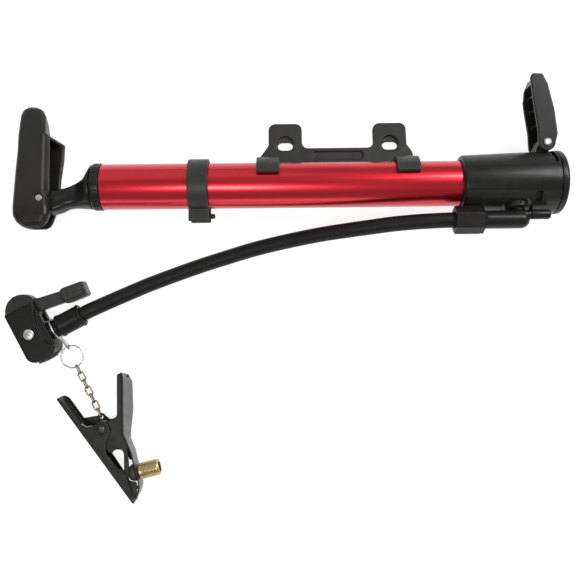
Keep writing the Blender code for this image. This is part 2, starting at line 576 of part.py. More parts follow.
def make_neck_loop(head):
    """Wire loop round the head's neck with a flat eye hanging from it."""
    x = 11.9
    loop = torus("neck_loop", (x, COLLAR_Y, 0), 6.75, 0.6, "steel", head, normal="X")
    ey, ez = EYE_AT
    strip = [(-23.9, -2.0), (-24.6, 1.2)] + arc(ey, ez, 2.2, 135, 315, 10)
    combine(loop, prism("eye", strip, x - 0.5, x + 0.5, "steel", head, normal="X"), "UNION")
    hole = arc(ey, ez, 1.25, 0, 345, 15)
    combine(loop, prism("hole", hole, x - 3, x + 3, "steel", head, normal="X"))


def make_tether(head, layout):
    torus("split_ring", (*RING_AT, EYE_AT[1]), RING_R, RING_WIRE, "steel", head)
    middle = Vector((*head_point(*RING_AT)[:2], 0))
    end = Vector((*clip_point(*EAR_HOLE), 0))
    start = middle + (end - middle).normalized() * RING_R
    run = end - start
    heading = math.atan2(run.y, run.x)
    wire_r, inner_half, slack = 0.45, 1.25, 0.2
    end_r = inner_half + wire_r
    hook = wire_r + RING_WIRE + 0.1        # between the ring's wire and the first link's end wire
    pitch = (run.length - 2 * end_r + hook + 2 * inner_half - slack) / CHAIN_LINKS
    straight = pitch + slack - 2 * inner_half
    first = straight / 2 + end_r - hook
    for i in range(CHAIN_LINKS):
        at = start + run.normalized() * (first + pitch * i)
        roll = math.pi / 2 if i % 2 == 0 else 0.0
        torus(f"chain_link_{i + 1}", (at.x, at.y, CHAIN_Z), inner_half + wire_r, wire_r, "steel", layout,
              sides=16, tube=6, stretch=straight, roll=roll, heading=heading)


# ---------------------------------------------------------------- clip-on valve adapter
LEFT_TIP = (-26.8, 19.1)       # outer corner of the left handle, from the rivet
LEFT_ANGLE = math.radians(-54.5)
LEFT_LENGTH = 79.0


EAR_HOLE = (24.9, 12.4)        # along and across the left half, where the last link passes


def clip_point(along, across):
    c, s = math.cos(LEFT_ANGLE), math.sin(LEFT_ANGLE)
    return (CLIP_AT[0] + LEFT_TIP[0] + along * c - across * s, CLIP_AT[1] + LEFT_TIP[1] + along * s + across * c)


def make_clip_left(clip):
    """Straight channel half: web on its outer edge, and a cheek on each side round the rivet."""
    side = frame("clip_left_side", clip, (*LEFT_TIP, 0), (0, 0, LEFT_ANGLE))
    web = [(0.6, 0.0), (LEFT_LENGTH - 1, 0.0), (LEFT_LENGTH, 0.6), (LEFT_LENGTH - 1, 1.1), (0.0, 1.1)]
    half = prism("clip_left_half", web, 0.3, 13.8, "nickel", side)
    near = [(0.4, 0.4), (LEFT_LENGTH - 2, 0.4), (76.0, 2.4), (64.0, 6.6), (58.4, 7.0), (56.4, 5.2), (45.0, 4.7),
            (39.5, 8.5), (36.0, 14.6), (31.0, 16.4), (27.4, 15.6), (26.6, 10.0), (25.2, 4.8), (21.0, 2.6), (4.0, 2.4),
            (1.4, 1.8)]
    combine(half, prism("near", near, 12.8, 13.8, "nickel", side), "UNION")
    far = [(0.4, 0.4), (LEFT_LENGTH - 2, 0.4), (76.0, 2.4), (60.0, 4.0), (45.0, 4.6), (39.5, 8.5), (36.0, 14.6), (31.0, 16.4)]
    far += arc(*EAR_HOLE, 2.5, 80, 215, 6) + [(19.0, 3.4), (4.0, 3.4), (1.4, 2.4)]
    combine(half, prism("far", far, 1.7, 2.7, "nickel", side), "UNION")
    rivet_hole = arc(31.1, 10.75, 3.2, 0, 342, 18)
    combine(half, prism("hole", rivet_hole, -2, 18, "nickel", side))
    combine(half, prism("ear_hole", arc(*EAR_HOLE, 1.1, 0, 324, 9), -2, 6, "nickel", side))


def band(name, near_line, far_line, thick, low, high, colour, parent):
    """A bent strip standing between two heights, whose line may differ at the top and the bottom."""
    def offset(line, by):
        out = []
        for i, p in enumerate(line):
            a, b = line[max(i - 1, 0)], line[min(i + 1, len(line) - 1)]
            t = (Vector(b) - Vector(a)).normalized()
            out.append((p[0] - t.y * by, p[1] + t.x * by))
        return out
    bm = bmesh.new()
    sections = []
    for i in range(len(near_line)):
        corners = [(*offset(far_line, 0)[i], low), (*offset(far_line, thick)[i], low),
                   (*offset(near_line, thick)[i], high), (*offset(near_line, 0)[i], high)]
        sections.append(ring(bm, corners))
    join_rings(bm, sections)
    bmesh.ops.triangulate(bm, faces=bm.faces)
    return finish_mesh(name, bm, colour, parent)


def make_clip_right(swing):
    jaw = [(14.6, -8), (17.4, -15), (18.7, -21), (20.2, -27), (21.5, -31), (21.8, -36), (20.6, -40), (19.7, -41.8)]
    near = [(11.9, 34.6), (12.4, 30), (12.4, 10), (12.5, -3)] + jaw
    far = [(13.8, 32.6), (16.2, 28), (16.2, 10), (14.6, -3)] + jaw
    half = band("clip_right_half", near, far, 1.0, 0.3, 12.3, "nickel", swing)
    near_plate = [(12.8, 34.2), (12.9, -3), (14.4, -7), (15.8, -13), (16.4, -20), (16.4, -31), (21.0, -32), (21.3, -36),
                  (20.2, -40), (19.4, -41.4), (17.4, -38.5), (15.0, -34.5), (12.9, -30.5), (13.4, -24), (13.4, -14.5),
                  (12.2, -12.4), (8.0, -12.2), (6.4, -14.4), (4.4, -14.2), (0, -8.5), (-3.6, -4.2), (-4.6, 0),
                  (-3.6, 4.2), (0, 5.2), (5, 5.0), (9.4, 8), (9.6, 33.4)]
    combine(half, prism("near", near_plate, 11.2, 12.2, "nickel", swing), "UNION")
    far_plate = [(15.3, 32.4), (15.3, 9), (13.9, -3), (15.0, -8), (17.8, -15), (18.9, -20.4), (15.0, -20.4), (13.6, -15),
                 (10, -9), (3, -5.4), (-3.6, -4.2), (-4.6, 0), (-3.6, 4.2), (0, 5.2), (5, 5.0), (9.4, 8), (12.4, 32.4)]
    combine(half, prism("far", far_plate, 3.2, 4.2, "nickel", swing), "UNION")
    combine(half, prism("hole", arc(0, 0, 3.2, 0, 342, 18), -2, 18, "nickel", swing))
    nozzle_turn = frame("nozzle_turn", swing, (21.2, -26.9, 6.4), (0, 0, math.radians(13.3)))
    combine(half, lathe("nozzle_hole", [(-4, 0), (-4, 3.1), (4, 3.1), (4, 0)], "nickel", nozzle_turn, sides=20))
    lathe("brass_nozzle", [(-2.6, 1.7), (-2.6, 2.8), (1.2, 2.8), (1.2, 5.0), (12.6, 5.0), (13.2, 4.4), (13.2, 3.2),
                           (5.0, 3.2), (5.0, 1.7)], "brass", nozzle_turn, sides=24)
    lathe("nozzle_seat", [(-5.6, 1.9), (-5.6, 4.0), (-3.2, 5.2), (-1.3, 5.2), (-1.3, 3.2), (-3.0, 3.2), (-3.0, 1.9)],
          "seat", nozzle_turn, sides=24)


def make_clip_hardware(clip):
    lathe("clip_rivet", [(0.5, 2.3), (0.5, 3.8), (1.3, 3.8), (1.3, 2.9), (14.1, 2.9), (14.1, 3.8), (14.9, 3.8), (14.9, 2.3)],
          "steel", clip, "Z", sides=24)
    turns = coil(4.1, 5.1, 10.2, -3.5, 12)
    tail = [Vector((-4.5, 1.3, 10.3)), Vector((-6.4, 1.7, 10.4)), Vector((-9.6, 1.1, 10.4)), Vector((-12.4, 3.2, 10.4))]
    lead = [Vector((9.4, 7.6, 5.0)), Vector((6.6, 4.8, 5.0)), Vector((4.6, 2.3, 5.05))]
    bent_wire("clip_spring", lead + turns + tail, 0.5, "steel", clip)


def to_metres():
    scale = Matrix.Scale(MM, 4)
    for obj in bpy.data.objects:
        obj.location = obj.location * MM
        if obj.type == "MESH":
            obj.data.transform(scale)
        elif obj.type == "CURVE":
            obj.data.transform(scale)


def build():
    clear_scene()
    layout = frame("layout", at=(LAYOUT_X, LAYOUT_Y, 0))
    pump = frame("pump_axis", layout, (0, AXIS_Y, AXIS_Z))
    fitting = frame("swivel_axis", pump, (SWIVEL_X, 0, 0), (math.pi + SWIVEL_ANGLE, 0, 0))
    make_barrel(pump)
    make_gland(pump)
    make_housing(pump, fitting)
    make_base_parts(pump)
    make_bracket(pump)
    make_hose_clip(pump)
    make_rod(pump)
    turned = frame("handle_turn", pump, turn=(HANDLE_TURN, 0, 0))
    make_stem(turned)
    make_handle(frame("handle_pivot", turned, (*HANDLE_PIVOT, 0)))
    make_pedal(pump, frame("pedal_pivot", pump, (*PEDAL_PIVOT, 0)))
    make_fitting(fitting)
    make_nut(fitting)
    hose_tube("hose", smooth_curve(hose_route(), 2), HOSE_R, "rubber", layout, 4)
    head = frame("head_frame", layout, (*HEAD_AT, HEAD_MID_Z), (0, 0, HEAD_ANGLE))
    make_head(head)
    make_plunger(head)
    make_lever(head)
    make_neck_loop(head)
    make_tether(head, layout)
    clip = frame("clip_rivet_axis", layout, (*CLIP_AT, 0))
    make_clip_left(clip)
    make_clip_right(clip)
    make_clip_hardware(clip)
    to_metres()


build()
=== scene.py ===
"""Looks of the mini pump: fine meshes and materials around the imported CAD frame.

Shapes are made in millimetres in each group's own frame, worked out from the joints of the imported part,
and finish_piece moves them into the row frame in metres.
"""
import json
from math import atan2, copysign, cos, pi, radians, sin, sqrt, tau

import bmesh
import bpy
from mathutils import Matrix, Vector


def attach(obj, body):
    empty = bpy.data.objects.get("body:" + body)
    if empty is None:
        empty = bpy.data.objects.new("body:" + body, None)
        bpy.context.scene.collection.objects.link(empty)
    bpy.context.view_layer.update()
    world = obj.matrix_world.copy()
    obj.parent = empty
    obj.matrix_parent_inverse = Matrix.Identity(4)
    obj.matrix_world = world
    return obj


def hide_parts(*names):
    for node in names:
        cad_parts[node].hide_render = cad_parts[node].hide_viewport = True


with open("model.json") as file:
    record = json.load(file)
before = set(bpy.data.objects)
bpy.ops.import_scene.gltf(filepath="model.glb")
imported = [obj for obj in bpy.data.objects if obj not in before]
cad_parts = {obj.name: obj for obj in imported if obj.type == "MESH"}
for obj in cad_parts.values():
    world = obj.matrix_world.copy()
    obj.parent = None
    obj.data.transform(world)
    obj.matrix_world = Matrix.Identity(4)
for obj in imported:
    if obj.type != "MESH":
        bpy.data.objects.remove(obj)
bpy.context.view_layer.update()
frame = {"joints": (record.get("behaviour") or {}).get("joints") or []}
MM = 0.001

# ---- frames of the groups, from the joints
JOINTS = {joint["name"]: joint for joint in frame["joints"]}


def joint_at(name):
    return Vector(JOINTS[name]["pos_m"]) / MM


def joint_axis(name):
    return Vector(JOINTS[name]["axis"])


def group(origin, angle=0.0, axis="Z"):
    return Matrix.Translation(origin) @ Matrix.Rotation(angle, 4, axis)


PUMP = group(joint_at("rod_spin"))
LAYOUT_SHIFT = Vector((-1.55, -76.97, 0.0))       # from the numbers of the hose's route to the row frame
HANDLE_TURN = atan2(-joint_axis("handle_fold").y, joint_axis("handle_fold").z)
TURNED = PUMP @ Matrix.Rotation(HANDLE_TURN, 4, "X")
HANDLE = group(joint_at("handle_fold"), HANDLE_TURN, "X")
PEDAL = group(joint_at("pedal_fold"))
FITTING = group(joint_at("hose_swivel"), atan2(joint_axis("hose_swivel").z, joint_axis("hose_swivel").y), "X")
HEAD = group(joint_at("lever_pivot"), atan2(joint_axis("plunger_slide").x, -joint_axis("plunger_slide").y))
CLIP = group((joint_at("clip_open").x, joint_at("clip_open").y, 0.0))
SIDE = CLIP @ group((-26.8, 19.1, 0), radians(-54.5))
NOZZLE = CLIP @ group((21.2, -26.9, 6.4), radians(13.3))
BRACKET = PUMP @ Matrix.Rotation(radians(-15.0), 4, "X")

# Sizes shared by several pieces
TUBE_R, BORE_R = 13.5, 12.5
TUBE_LEFT, TUBE_RIGHT = -109.2, 112.2
HOUSING_LEFT, HOUSING_RIGHT = 102.5, 158.0
END_R, END_RIGHT = 18.8, 162.5
LUG_CENTRES = (-0.75, 63.25)
BAND_CENTRES = (-11.0, 71.0)
HOSE_CLIP_X = -52.0
FITTING_OUT = 25.0
HOSE_R = 4.5
COLLAR_Y = -18.0
EYE = (-30.85, -6.5)
RING_AT, RING_R, RING_WIRE = (11.2, -37.6), 6.8, 0.6
CHAIN_LINKS, CHAIN_Z = 7, 2.45
EAR_HOLE = (24.9, 12.4)
RIVET_AT, RIVET_HOLE_R = (31.1, 10.75), 3.2        # in the long jaw's frame
FREE = 0.3                                        # gap between fitted parts
LEFT_LENGTH = 79.0


# ---- mesh helpers
def link(name, mesh):
    obj = bpy.data.objects.new(name, mesh)
    bpy.context.scene.collection.objects.link(obj)
    return obj


def to_object(name, bm):
    bmesh.ops.remove_doubles(bm, verts=bm.verts, dist=1e-4)
    bmesh.ops.recalc_face_normals(bm, faces=bm.faces)
    mesh = bpy.data.meshes.new(name)
    bm.to_mesh(mesh)
    bm.free()
    return link(name, mesh)


def join_rings(bm, rings, cyclic=False):
    rings = [[bm.verts.new(p) for p in ring] for ring in rings]
    for a, b in zip(rings, rings[1:] + rings[:1] if cyclic else rings[1:]):
        count = max(len(a), len(b))
        for i in range(count):
            j = (i + 1) % count
            quad = [a[i % len(a)], a[j % len(a)], b[j % len(b)], b[i % len(b)]]
            corners = list(dict.fromkeys(quad))
            if len(corners) > 2:
                bm.faces.new(corners)
    if not cyclic:
        for end in (rings[0], rings[-1]):
            if len(end) > 2:
                bm.faces.new(end)


def arc(cx, cy, r, start, end, steps):
    turns = [radians(start + (end - start) * i / steps) for i in range(steps + 1)]
    return [(cx + r * cos(t), cy + r * sin(t)) for t in turns]


def rounded_outline(x0, y0, x1, y1, r, steps=6):
    corners = ((x1 - r, y1 - r, 0), (x0 + r, y1 - r, 90), (x0 + r, y0 + r, 180), (x1 - r, y0 + r, 270))
    return [p for cx, cy, start in corners for p in arc(cx, cy, r, start, start + 90, steps)]


def fillet(points, radius, closed=True, steps=4):
    """The same outline with each corner rounded by up to that radius."""
    out = []
    count = len(points)
    for i, point in enumerate(points):
        here = Vector(point)
        if not closed and i in (0, count - 1):
            out.append(tuple(here))
            continue
        before, after = Vector(points[i - 1]), Vector(points[(i + 1) % count])
        to_before, to_after = before - here, after - here
        reach = min(radius, to_before.length * 0.45, to_after.length * 0.45)
        if reach < 1e-4 or to_before.angle(to_after) > radians(172):
            out.append(tuple(here))
            continue
        a = here + to_before.normalized() * reach
        b = here + to_after.normalized() * reach
        for k in range(steps + 1):
            t = k / steps
            out.append(tuple(a * (1 - t) ** 2 + here * 2 * t * (1 - t) + b * t ** 2))
    return out


def lathe(profile, axis="X", centre=(0, 0, 0), sides=96, radius=0.0):
    """Turns (along, radius) points about an axis. radius rounds the profile's corners."""
    hollow = all(r > 1e-6 for _, r in profile)
    if radius:
        profile = fillet(profile, radius, closed=hollow)
    rings = []
    for along, r in profile:
        ring = []
        for i in range(sides if r > 1e-6 else 1):
            turn = tau * i / sides
            c, s = r * cos(turn), r * sin(turn)
            ring.append(Vector(centre) + Vector({"X": (along, c, s), "Y": (s, along, c),
                                                 "Z": (c, s, along)}[axis]))
        rings.append(ring)
    bm = bmesh.new()
    join_rings(bm, rings, cyclic=hollow)
    return to_object("turned", bm)


def prism(outline, low, high, normal="Z", radius=0.0):
    """Extrudes an outline along normal. radius rounds the outline's corners."""
    if radius:
        outline = fillet(outline, radius)
    place = {"Z": lambda u, v, w: (u, v, w), "X": lambda u, v, w: (w, u, v)}[normal]
    bm = bmesh.new()
    join_rings(bm, [[place(u, v, w) for u, v in outline] for w in (low, high)])
    return to_object("prism", bm)


def loft(sections, cyclic=False):
    bm = bmesh.new()
    join_rings(bm, sections, cyclic=cyclic)
    return to_object("loft", bm)


def sweep(points, radius, sides=12, closed=False):
    """Round wire along points."""
    points = [Vector(p) for p in points]
    count = len(points)
    side = None
    sections = []
    for i, p in enumerate(points):
        ahead = points[(i + 1) % count] if closed else points[min(i + 1, count - 1)]
        behind = points[i - 1] if closed else points[max(i - 1, 0)]
        along = (ahead - behind).normalized()
        side = along.orthogonal() if side is None else side - along * side.dot(along)
        side.normalize()
        other = along.cross(side)
        turns = [tau * k / sides for k in range(sides)]
        sections.append([p + (side * cos(a) + other * sin(a)) * radius for a in turns])
    return loft(sections, cyclic=closed)


def smooth_curve(points, steps):
    points = [Vector(p) for p in points]
    ends = [2 * points[0] - points[1]] + points + [2 * points[-1] - points[-2]]
    out = []
    for a, b, c, d in zip(ends, ends[1:], ends[2:], ends[3:]):
        for i in range(steps):
            t = i / steps
            out.append(0.5 * (2 * b + (c - a) * t + (2 * a - 5 * b + 4 * c - d) * t ** 2
                              + (3 * b - a - 3 * c + d) * t ** 3))
    return out + [points[-1]]


def evaluated(obj):
    """Applies the object's modifiers."""
    bpy.context.view_layer.update()
    graph = bpy.context.evaluated_depsgraph_get()
    mesh = bpy.data.meshes.new_from_object(obj.evaluated_get(graph))
    obj.modifiers.clear()
    obj.data = mesh
    return obj


def triangulate(obj):
    bm = bmesh.new()
    bm.from_mesh(obj.data)
    bmesh.ops.triangulate(bm, faces=bm.faces)
    bm.to_mesh(obj.data)
    bm.free()


def combine(target, *tools, operation="DIFFERENCE"):
    """Cuts the target with each tool, or unites them, and removes the tools."""
    triangulate(target)
    for tool in tools:
        triangulate(tool)
        modifier = target.modifiers.new("combine", "BOOLEAN")
        modifier.object = tool
        modifier.operation = operation
        modifier.solver = "EXACT"
        evaluated(target)
        bpy.data.objects.remove(tool, do_unlink=True)
    return target


def unite(target, *tools):
    return combine(target, *tools, operation="UNION")


def moved(obj, matrix):
    obj.data.transform(matrix)
    return obj


def soften(obj, voxel, rounds=6, most_faces=40000):
    """Remeshes a moulded piece and rounds its edges as a mould does."""
    remesh = obj.modifiers.new("remesh", "REMESH")
    remesh.mode = "VOXEL"
    remesh.voxel_size = voxel
    smooth = obj.modifiers.new("smooth", "SMOOTH")
    smooth.factor = 0.5
    smooth.iterations = rounds
    evaluated(obj)
    faces = 2 * len(obj.data.polygons)
    if faces > most_faces:
        thin = obj.modifiers.new("thin", "DECIMATE")
        thin.ratio = most_faces / faces
        evaluated(obj)
    obj.data.shade_smooth()
    return obj


def bevelled(obj, width, segments=3, angle=40):
    """Rounds the sharp edges of a plain extruded or cut shape."""
    bm = bmesh.new()
    bm.from_mesh(obj.data)
    bmesh.ops.dissolve_limit(bm, angle_limit=radians(1.0), verts=bm.verts, edges=bm.edges)
    bm.to_mesh(obj.data)
    bm.free()
    bevel = obj.modifiers.new("bevel", "BEVEL")
    bevel.width = width
    bevel.segments = segments
    bevel.limit_method = "ANGLE"
    bevel.angle_limit = radians(angle)
    bevel.use_clamp_overlap = True
    return evaluated(obj)


def smooth_shade(obj, angle=32):
    obj.data.shade_smooth()
    obj.data.set_sharp_from_angle(angle=radians(angle))
    return obj


def finish_piece(obj, name, matrix, body, finish, slot, *nodes):
    """Names the piece, moves it into the row frame in metres, sets its material, parents it to its CAD body and
    hides the CAD nodes it replaces.
    """
    obj.name = name
    obj.data.name = name
    obj.data.transform(Matrix.Scale(MM, 4) @ matrix)
    obj.data.materials.clear()
    obj.data.materials.append(finish)
    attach(obj, body)
    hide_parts(*nodes)
    return obj


def smooth_piece(obj, *facts):
    return finish_piece(smooth_shade(obj), *facts)


# ---- materials
class Graph:
    """A new material and short calls for its nodes."""

    def __init__(self, name, **sockets):
        self.material = bpy.data.materials.new(name)
        self.material.use_nodes = True
        self.tree = self.material.node_tree
        self.shader = self.tree.nodes["Principled BSDF"]
        for key, value in sockets.items():
            self.shader.inputs[key.replace("_", " ")].default_value = value
        self.coords = self.tree.nodes.new("ShaderNodeTexCoord").outputs["Object"]

    def node(self, kind, inputs=None, **settings):
        made = self.tree.nodes.new(kind)
        for key, value in settings.items():
            setattr(made, key, value)
        for key, value in (inputs or {}).items():
            if isinstance(value, bpy.types.NodeSocket):
                self.tree.links.new(value, made.inputs[key])
            else:
                made.inputs[key].default_value = value
        return made

    def stretched(self, scale):
        return self.node("ShaderNodeMapping", {"Vector": self.coords, "Scale": scale}).outputs["Vector"]

    def noise(self, scale, detail=3.0, rough=0.55, vector=None):
        """Scale is in pattern sizes per metre."""
        return self.node("ShaderNodeTexNoise", {"Vector": vector or self.coords, "Scale": scale,
                                                "Detail": detail, "Roughness": rough}).outputs["Fac"]

    def ramp(self, fac, low, high, a=0.0, b=1.0):
        return self.node("ShaderNodeMapRange", {"Value": fac, "From Min": low, "From Max": high, "To Min": a,
                                                "To Max": b}).outputs["Result"]

    def mix(self, fac, a, b):
        made = self.tree.nodes.new("ShaderNodeMix")
        made.data_type = "RGBA"
        for index, value in ((0, fac), (6, a), (7, b)):
            if isinstance(value, bpy.types.NodeSocket):
                self.tree.links.new(value, made.inputs[index])
            else:
                made.inputs[index].default_value = value
        return made.outputs[2]

    def edges(self, low, high):
        """1 on worn convex edges, 0 elsewhere."""
        geometry = self.node("ShaderNodeNewGeometry")
        return self.ramp(geometry.outputs["Pointiness"], low, high)

    def bump(self, height, distance, strength=1.0, under=None):
        """distance is in metres."""
        inputs = {"Height": height, "Distance": distance, "Strength": strength}
        if under is not None:
            inputs["Normal"] = under
        return self.node("ShaderNodeBump", inputs).outputs["Normal"]

    def use(self, **links):
        for key, value in links.items():
            self.tree.links.new(value, self.shader.inputs[key.replace("_", " ")])
        return self.material


def scaled(colour, by):
    return (*(min(1.0, c * by) for c in colour[:3]), 1.0)


def plastic(name, colour, roughness, grain=0.00001, grain_scale=5200.0, coat=0.0, wear=1.9, specular=0.3):
    """Moulded plastic: flow marks in the tone, uneven gloss, fine moulded grain, and paler rubbed edges."""
    g = Graph(name, Coat_Weight=coat, Coat_Roughness=0.12, Specular_IOR_Level=specular)
    cloud = g.noise(70.0, 4.0)
    speck = g.noise(2600.0, 2.0)
    tone = g.mix(g.ramp(cloud, 0.35, 0.7), scaled(colour, 0.82), scaled(colour, 1.2))
    tone = g.mix(g.ramp(speck, 0.62, 0.78, 0.0, 0.35), tone, scaled(colour, 1.7))
    tone = g.mix(g.edges(0.52, 0.62), tone, scaled(colour, wear))
    gloss = g.ramp(g.noise(160.0, 5.0, 0.65), 0.3, 0.7, roughness * 0.82, roughness * 1.22)
    moulded = g.bump(g.noise(grain_scale, 2.0), grain)
    wavy = g.bump(g.noise(110.0, 2.0), 0.00005, 0.5, moulded)
    return g.use(Base_Color=tone, Roughness=gloss, Normal=wavy)


def rubber(name, colour, roughness, ribs=0.0):
    g = Graph(name, Specular_IOR_Level=0.22)
    cloud = g.noise(90.0, 4.0)
    dust = g.noise(1500.0, 3.0)
    tone = g.mix(g.ramp(cloud, 0.35, 0.7), scaled(colour, 0.8), scaled(colour, 1.25))
    tone = g.mix(g.ramp(dust, 0.6, 0.8, 0.0, 0.5), tone, scaled(colour, 2.2))
    gloss = g.ramp(g.noise(240.0, 4.0), 0.3, 0.7, roughness * 0.85, roughness * 1.15)
    skin = g.bump(g.noise(3800.0, 3.0), 0.00003, 0.8)
    if ribs:
        skin = g.bump(g.noise(1.0, 2.0, 0.5, g.stretched((300.0, 3200.0, 3200.0))), ribs, 0.7, skin)
    return g.use(Base_Color=tone, Roughness=gloss, Normal=skin)


def metal(name, colour, roughness, streak=(1.0, 1.0, 1.0), depth=0.000006, stain=0.75, metallic=1.0, coat=0.0):
    """Bare or plated metal: fine marks along one direction, dull stains, and bright rubbed edges."""
    g = Graph(name, Metallic=metallic, Coat_Weight=coat, Coat_Roughness=0.12)
    cloud = g.noise(300.0, 4.0)
    lines = g.noise(900.0, 3.0, 0.6, g.stretched(streak))
    tone = g.mix(g.ramp(cloud, 0.4, 0.75), colour, scaled(colour, stain))
    tone = g.mix(g.edges(0.52, 0.6), tone, scaled(colour, 1.35))
    gloss = g.ramp(g.noise(500.0, 5.0, 0.65), 0.3, 0.7, roughness * 0.75, roughness * 1.35)
    return g.use(Base_Color=tone, Roughness=gloss, Normal=g.bump(lines, depth, 0.8))


def anodised(name, colour):
    """Red anodised tube, drawn lengthwise: faint long streaks in gloss and tone under a clear coat."""
    g = Graph(name, Metallic=0.88, Coat_Weight=0.45, Coat_Roughness=0.16)
    streaks = g.noise(1.0, 2.0, 0.5, g.stretched((9.0, 420.0, 420.0)))
    cloud = g.noise(35.0, 3.0)
    tone = g.mix(g.ramp(streaks, 0.3, 0.7), scaled(colour, 0.94), scaled(colour, 1.06))
    tone = g.mix(g.ramp(cloud, 0.4, 0.75, 0.0, 0.3), tone, scaled(colour, 0.86))
    gloss = g.ramp(streaks, 0.3, 0.7, 0.27, 0.33)
    return g.use(Base_Color=tone, Roughness=gloss, Normal=g.bump(streaks, 0.0000015, 0.5))


RED = anodised("red_anodised", (0.54, 0.013, 0.024, 1.0))
BLACK = plastic("black_moulding", (0.007, 0.0068, 0.0064, 1.0), 0.34, coat=0.05, specular=0.24)
BRACKET_BLACK = plastic("bracket_moulding", (0.021, 0.0205, 0.0195, 1.0), 0.42, grain=0.000016)
GRIP = plastic("grip_moulding", (0.0095, 0.009, 0.008, 1.0), 0.36)
HEAD_PLASTIC = plastic("head_moulding", (0.0052, 0.005, 0.0046, 1.0), 0.36, specular=0.2)
LEVER_PLASTIC = plastic("lever_moulding", (0.019, 0.0187, 0.0178, 1.0), 0.36)
NUT_PLASTIC = plastic("nut_moulding", (0.0088, 0.0083, 0.0066, 1.0), 0.42, wear=2.4, specular=0.2)
GREY_PLASTIC = plastic("inner_moulding", (0.1, 0.1, 0.1, 1.0), 0.45)
HOSE_RUBBER = rubber("hose_rubber", (0.0042, 0.004, 0.0037, 1.0), 0.5, ribs=0.00004)
SEAL_RUBBER = rubber("seal_rubber", (0.016, 0.016, 0.016, 1.0), 0.5)
SEAT_RUBBER = rubber("seat_rubber", (0.06, 0.045, 0.037, 1.0), 0.6)
STEEL = metal("bright_steel", (0.50, 0.49, 0.455, 1.0), 0.3)
SPRING_STEEL = metal("spring_steel", (0.4, 0.4, 0.39, 1.0), 0.3)
CHAIN_STEEL = metal("chain_wire", (0.26, 0.215, 0.17, 1.0), 0.34, stain=0.6)
CLIP_BLACK = plastic("black_oxide", (0.0085, 0.0082, 0.0074, 1.0), 0.42, grain=0.000004, specular=0.22)
# Paler metal for the short jaw's faces that point along +X: a painted reflection of the bright surround
CLIP_PAINTED_SHEEN = metal("painted_sheen_plating", (0.17, 0.17, 0.163, 1.0), 0.38, depth=0.000003)
BRASS = metal("pale_brass", (0.42, 0.325, 0.155, 1.0), 0.34, depth=0.000003, stain=0.8)
ALLOY = metal("bare_alloy", (0.72, 0.72, 0.73, 1.0), 0.24, streak=(0.03, 1.0, 1.0))


# ---- barrel group
def make_barrel():
    tube = lathe([(TUBE_LEFT, BORE_R), (TUBE_LEFT, TUBE_R), (TUBE_RIGHT, TUBE_R), (TUBE_RIGHT, BORE_R)],
                 sides=144, radius=0.35)
    smooth_piece(tube, "tube", PUMP, "barrel", RED, "red_tube", "barrel")


def make_gland():
    face, spigot = TUBE_LEFT - FREE, BORE_R - FREE
    cap = lathe([(face - 5.7, 5.6), (face - 5.7, 13.0), (face - 4.6, 14.0), (face, 14.0), (face, spigot),
                 (-106, spigot), (-106, 11.0), (-104, 11.0), (-104, spigot), (-97, spigot), (-97, 7.5),
                 (-113.0, 7.5), (-113.0, 5.6)], radius=0.5)
    grips = []
    for k in range(24):
        turn = Matrix.Rotation(tau * k / 24, 4, "X")
        grips.append(moved(prism(rounded_outline(-0.45, 13.5, 0.45, 15.0, 0.3, 3), face - 4.4, face - 0.7, "X"),
                           turn))
    cutter = grips[0]
    for grip in grips[1:]:
        unite(cutter, grip)
    combine(cap, cutter)
    smooth_piece(cap, "gland_nut", PUMP, "barrel", BLACK, "black_body", "gland_cap")
    bush = lathe([(-112.7, 5.3), (-112.7, 7.2), (-97.5, 7.2), (-97.5, 5.3)], sides=64, radius=0.3)
    smooth_piece(bush, "rod_bush", PUMP, "barrel", GREY_PLASTIC, "grey_plastic", "rod_bushing")
    seal = sweep([(-105, 11.75 * cos(t), 11.75 * sin(t))
                  for t in (tau * i / 72 for i in range(72))], 0.6, 14, closed=True)
    smooth_piece(seal, "gland_seal", PUMP, "barrel", SEAL_RUBBER, "dark_rubber", "gland_o_ring")


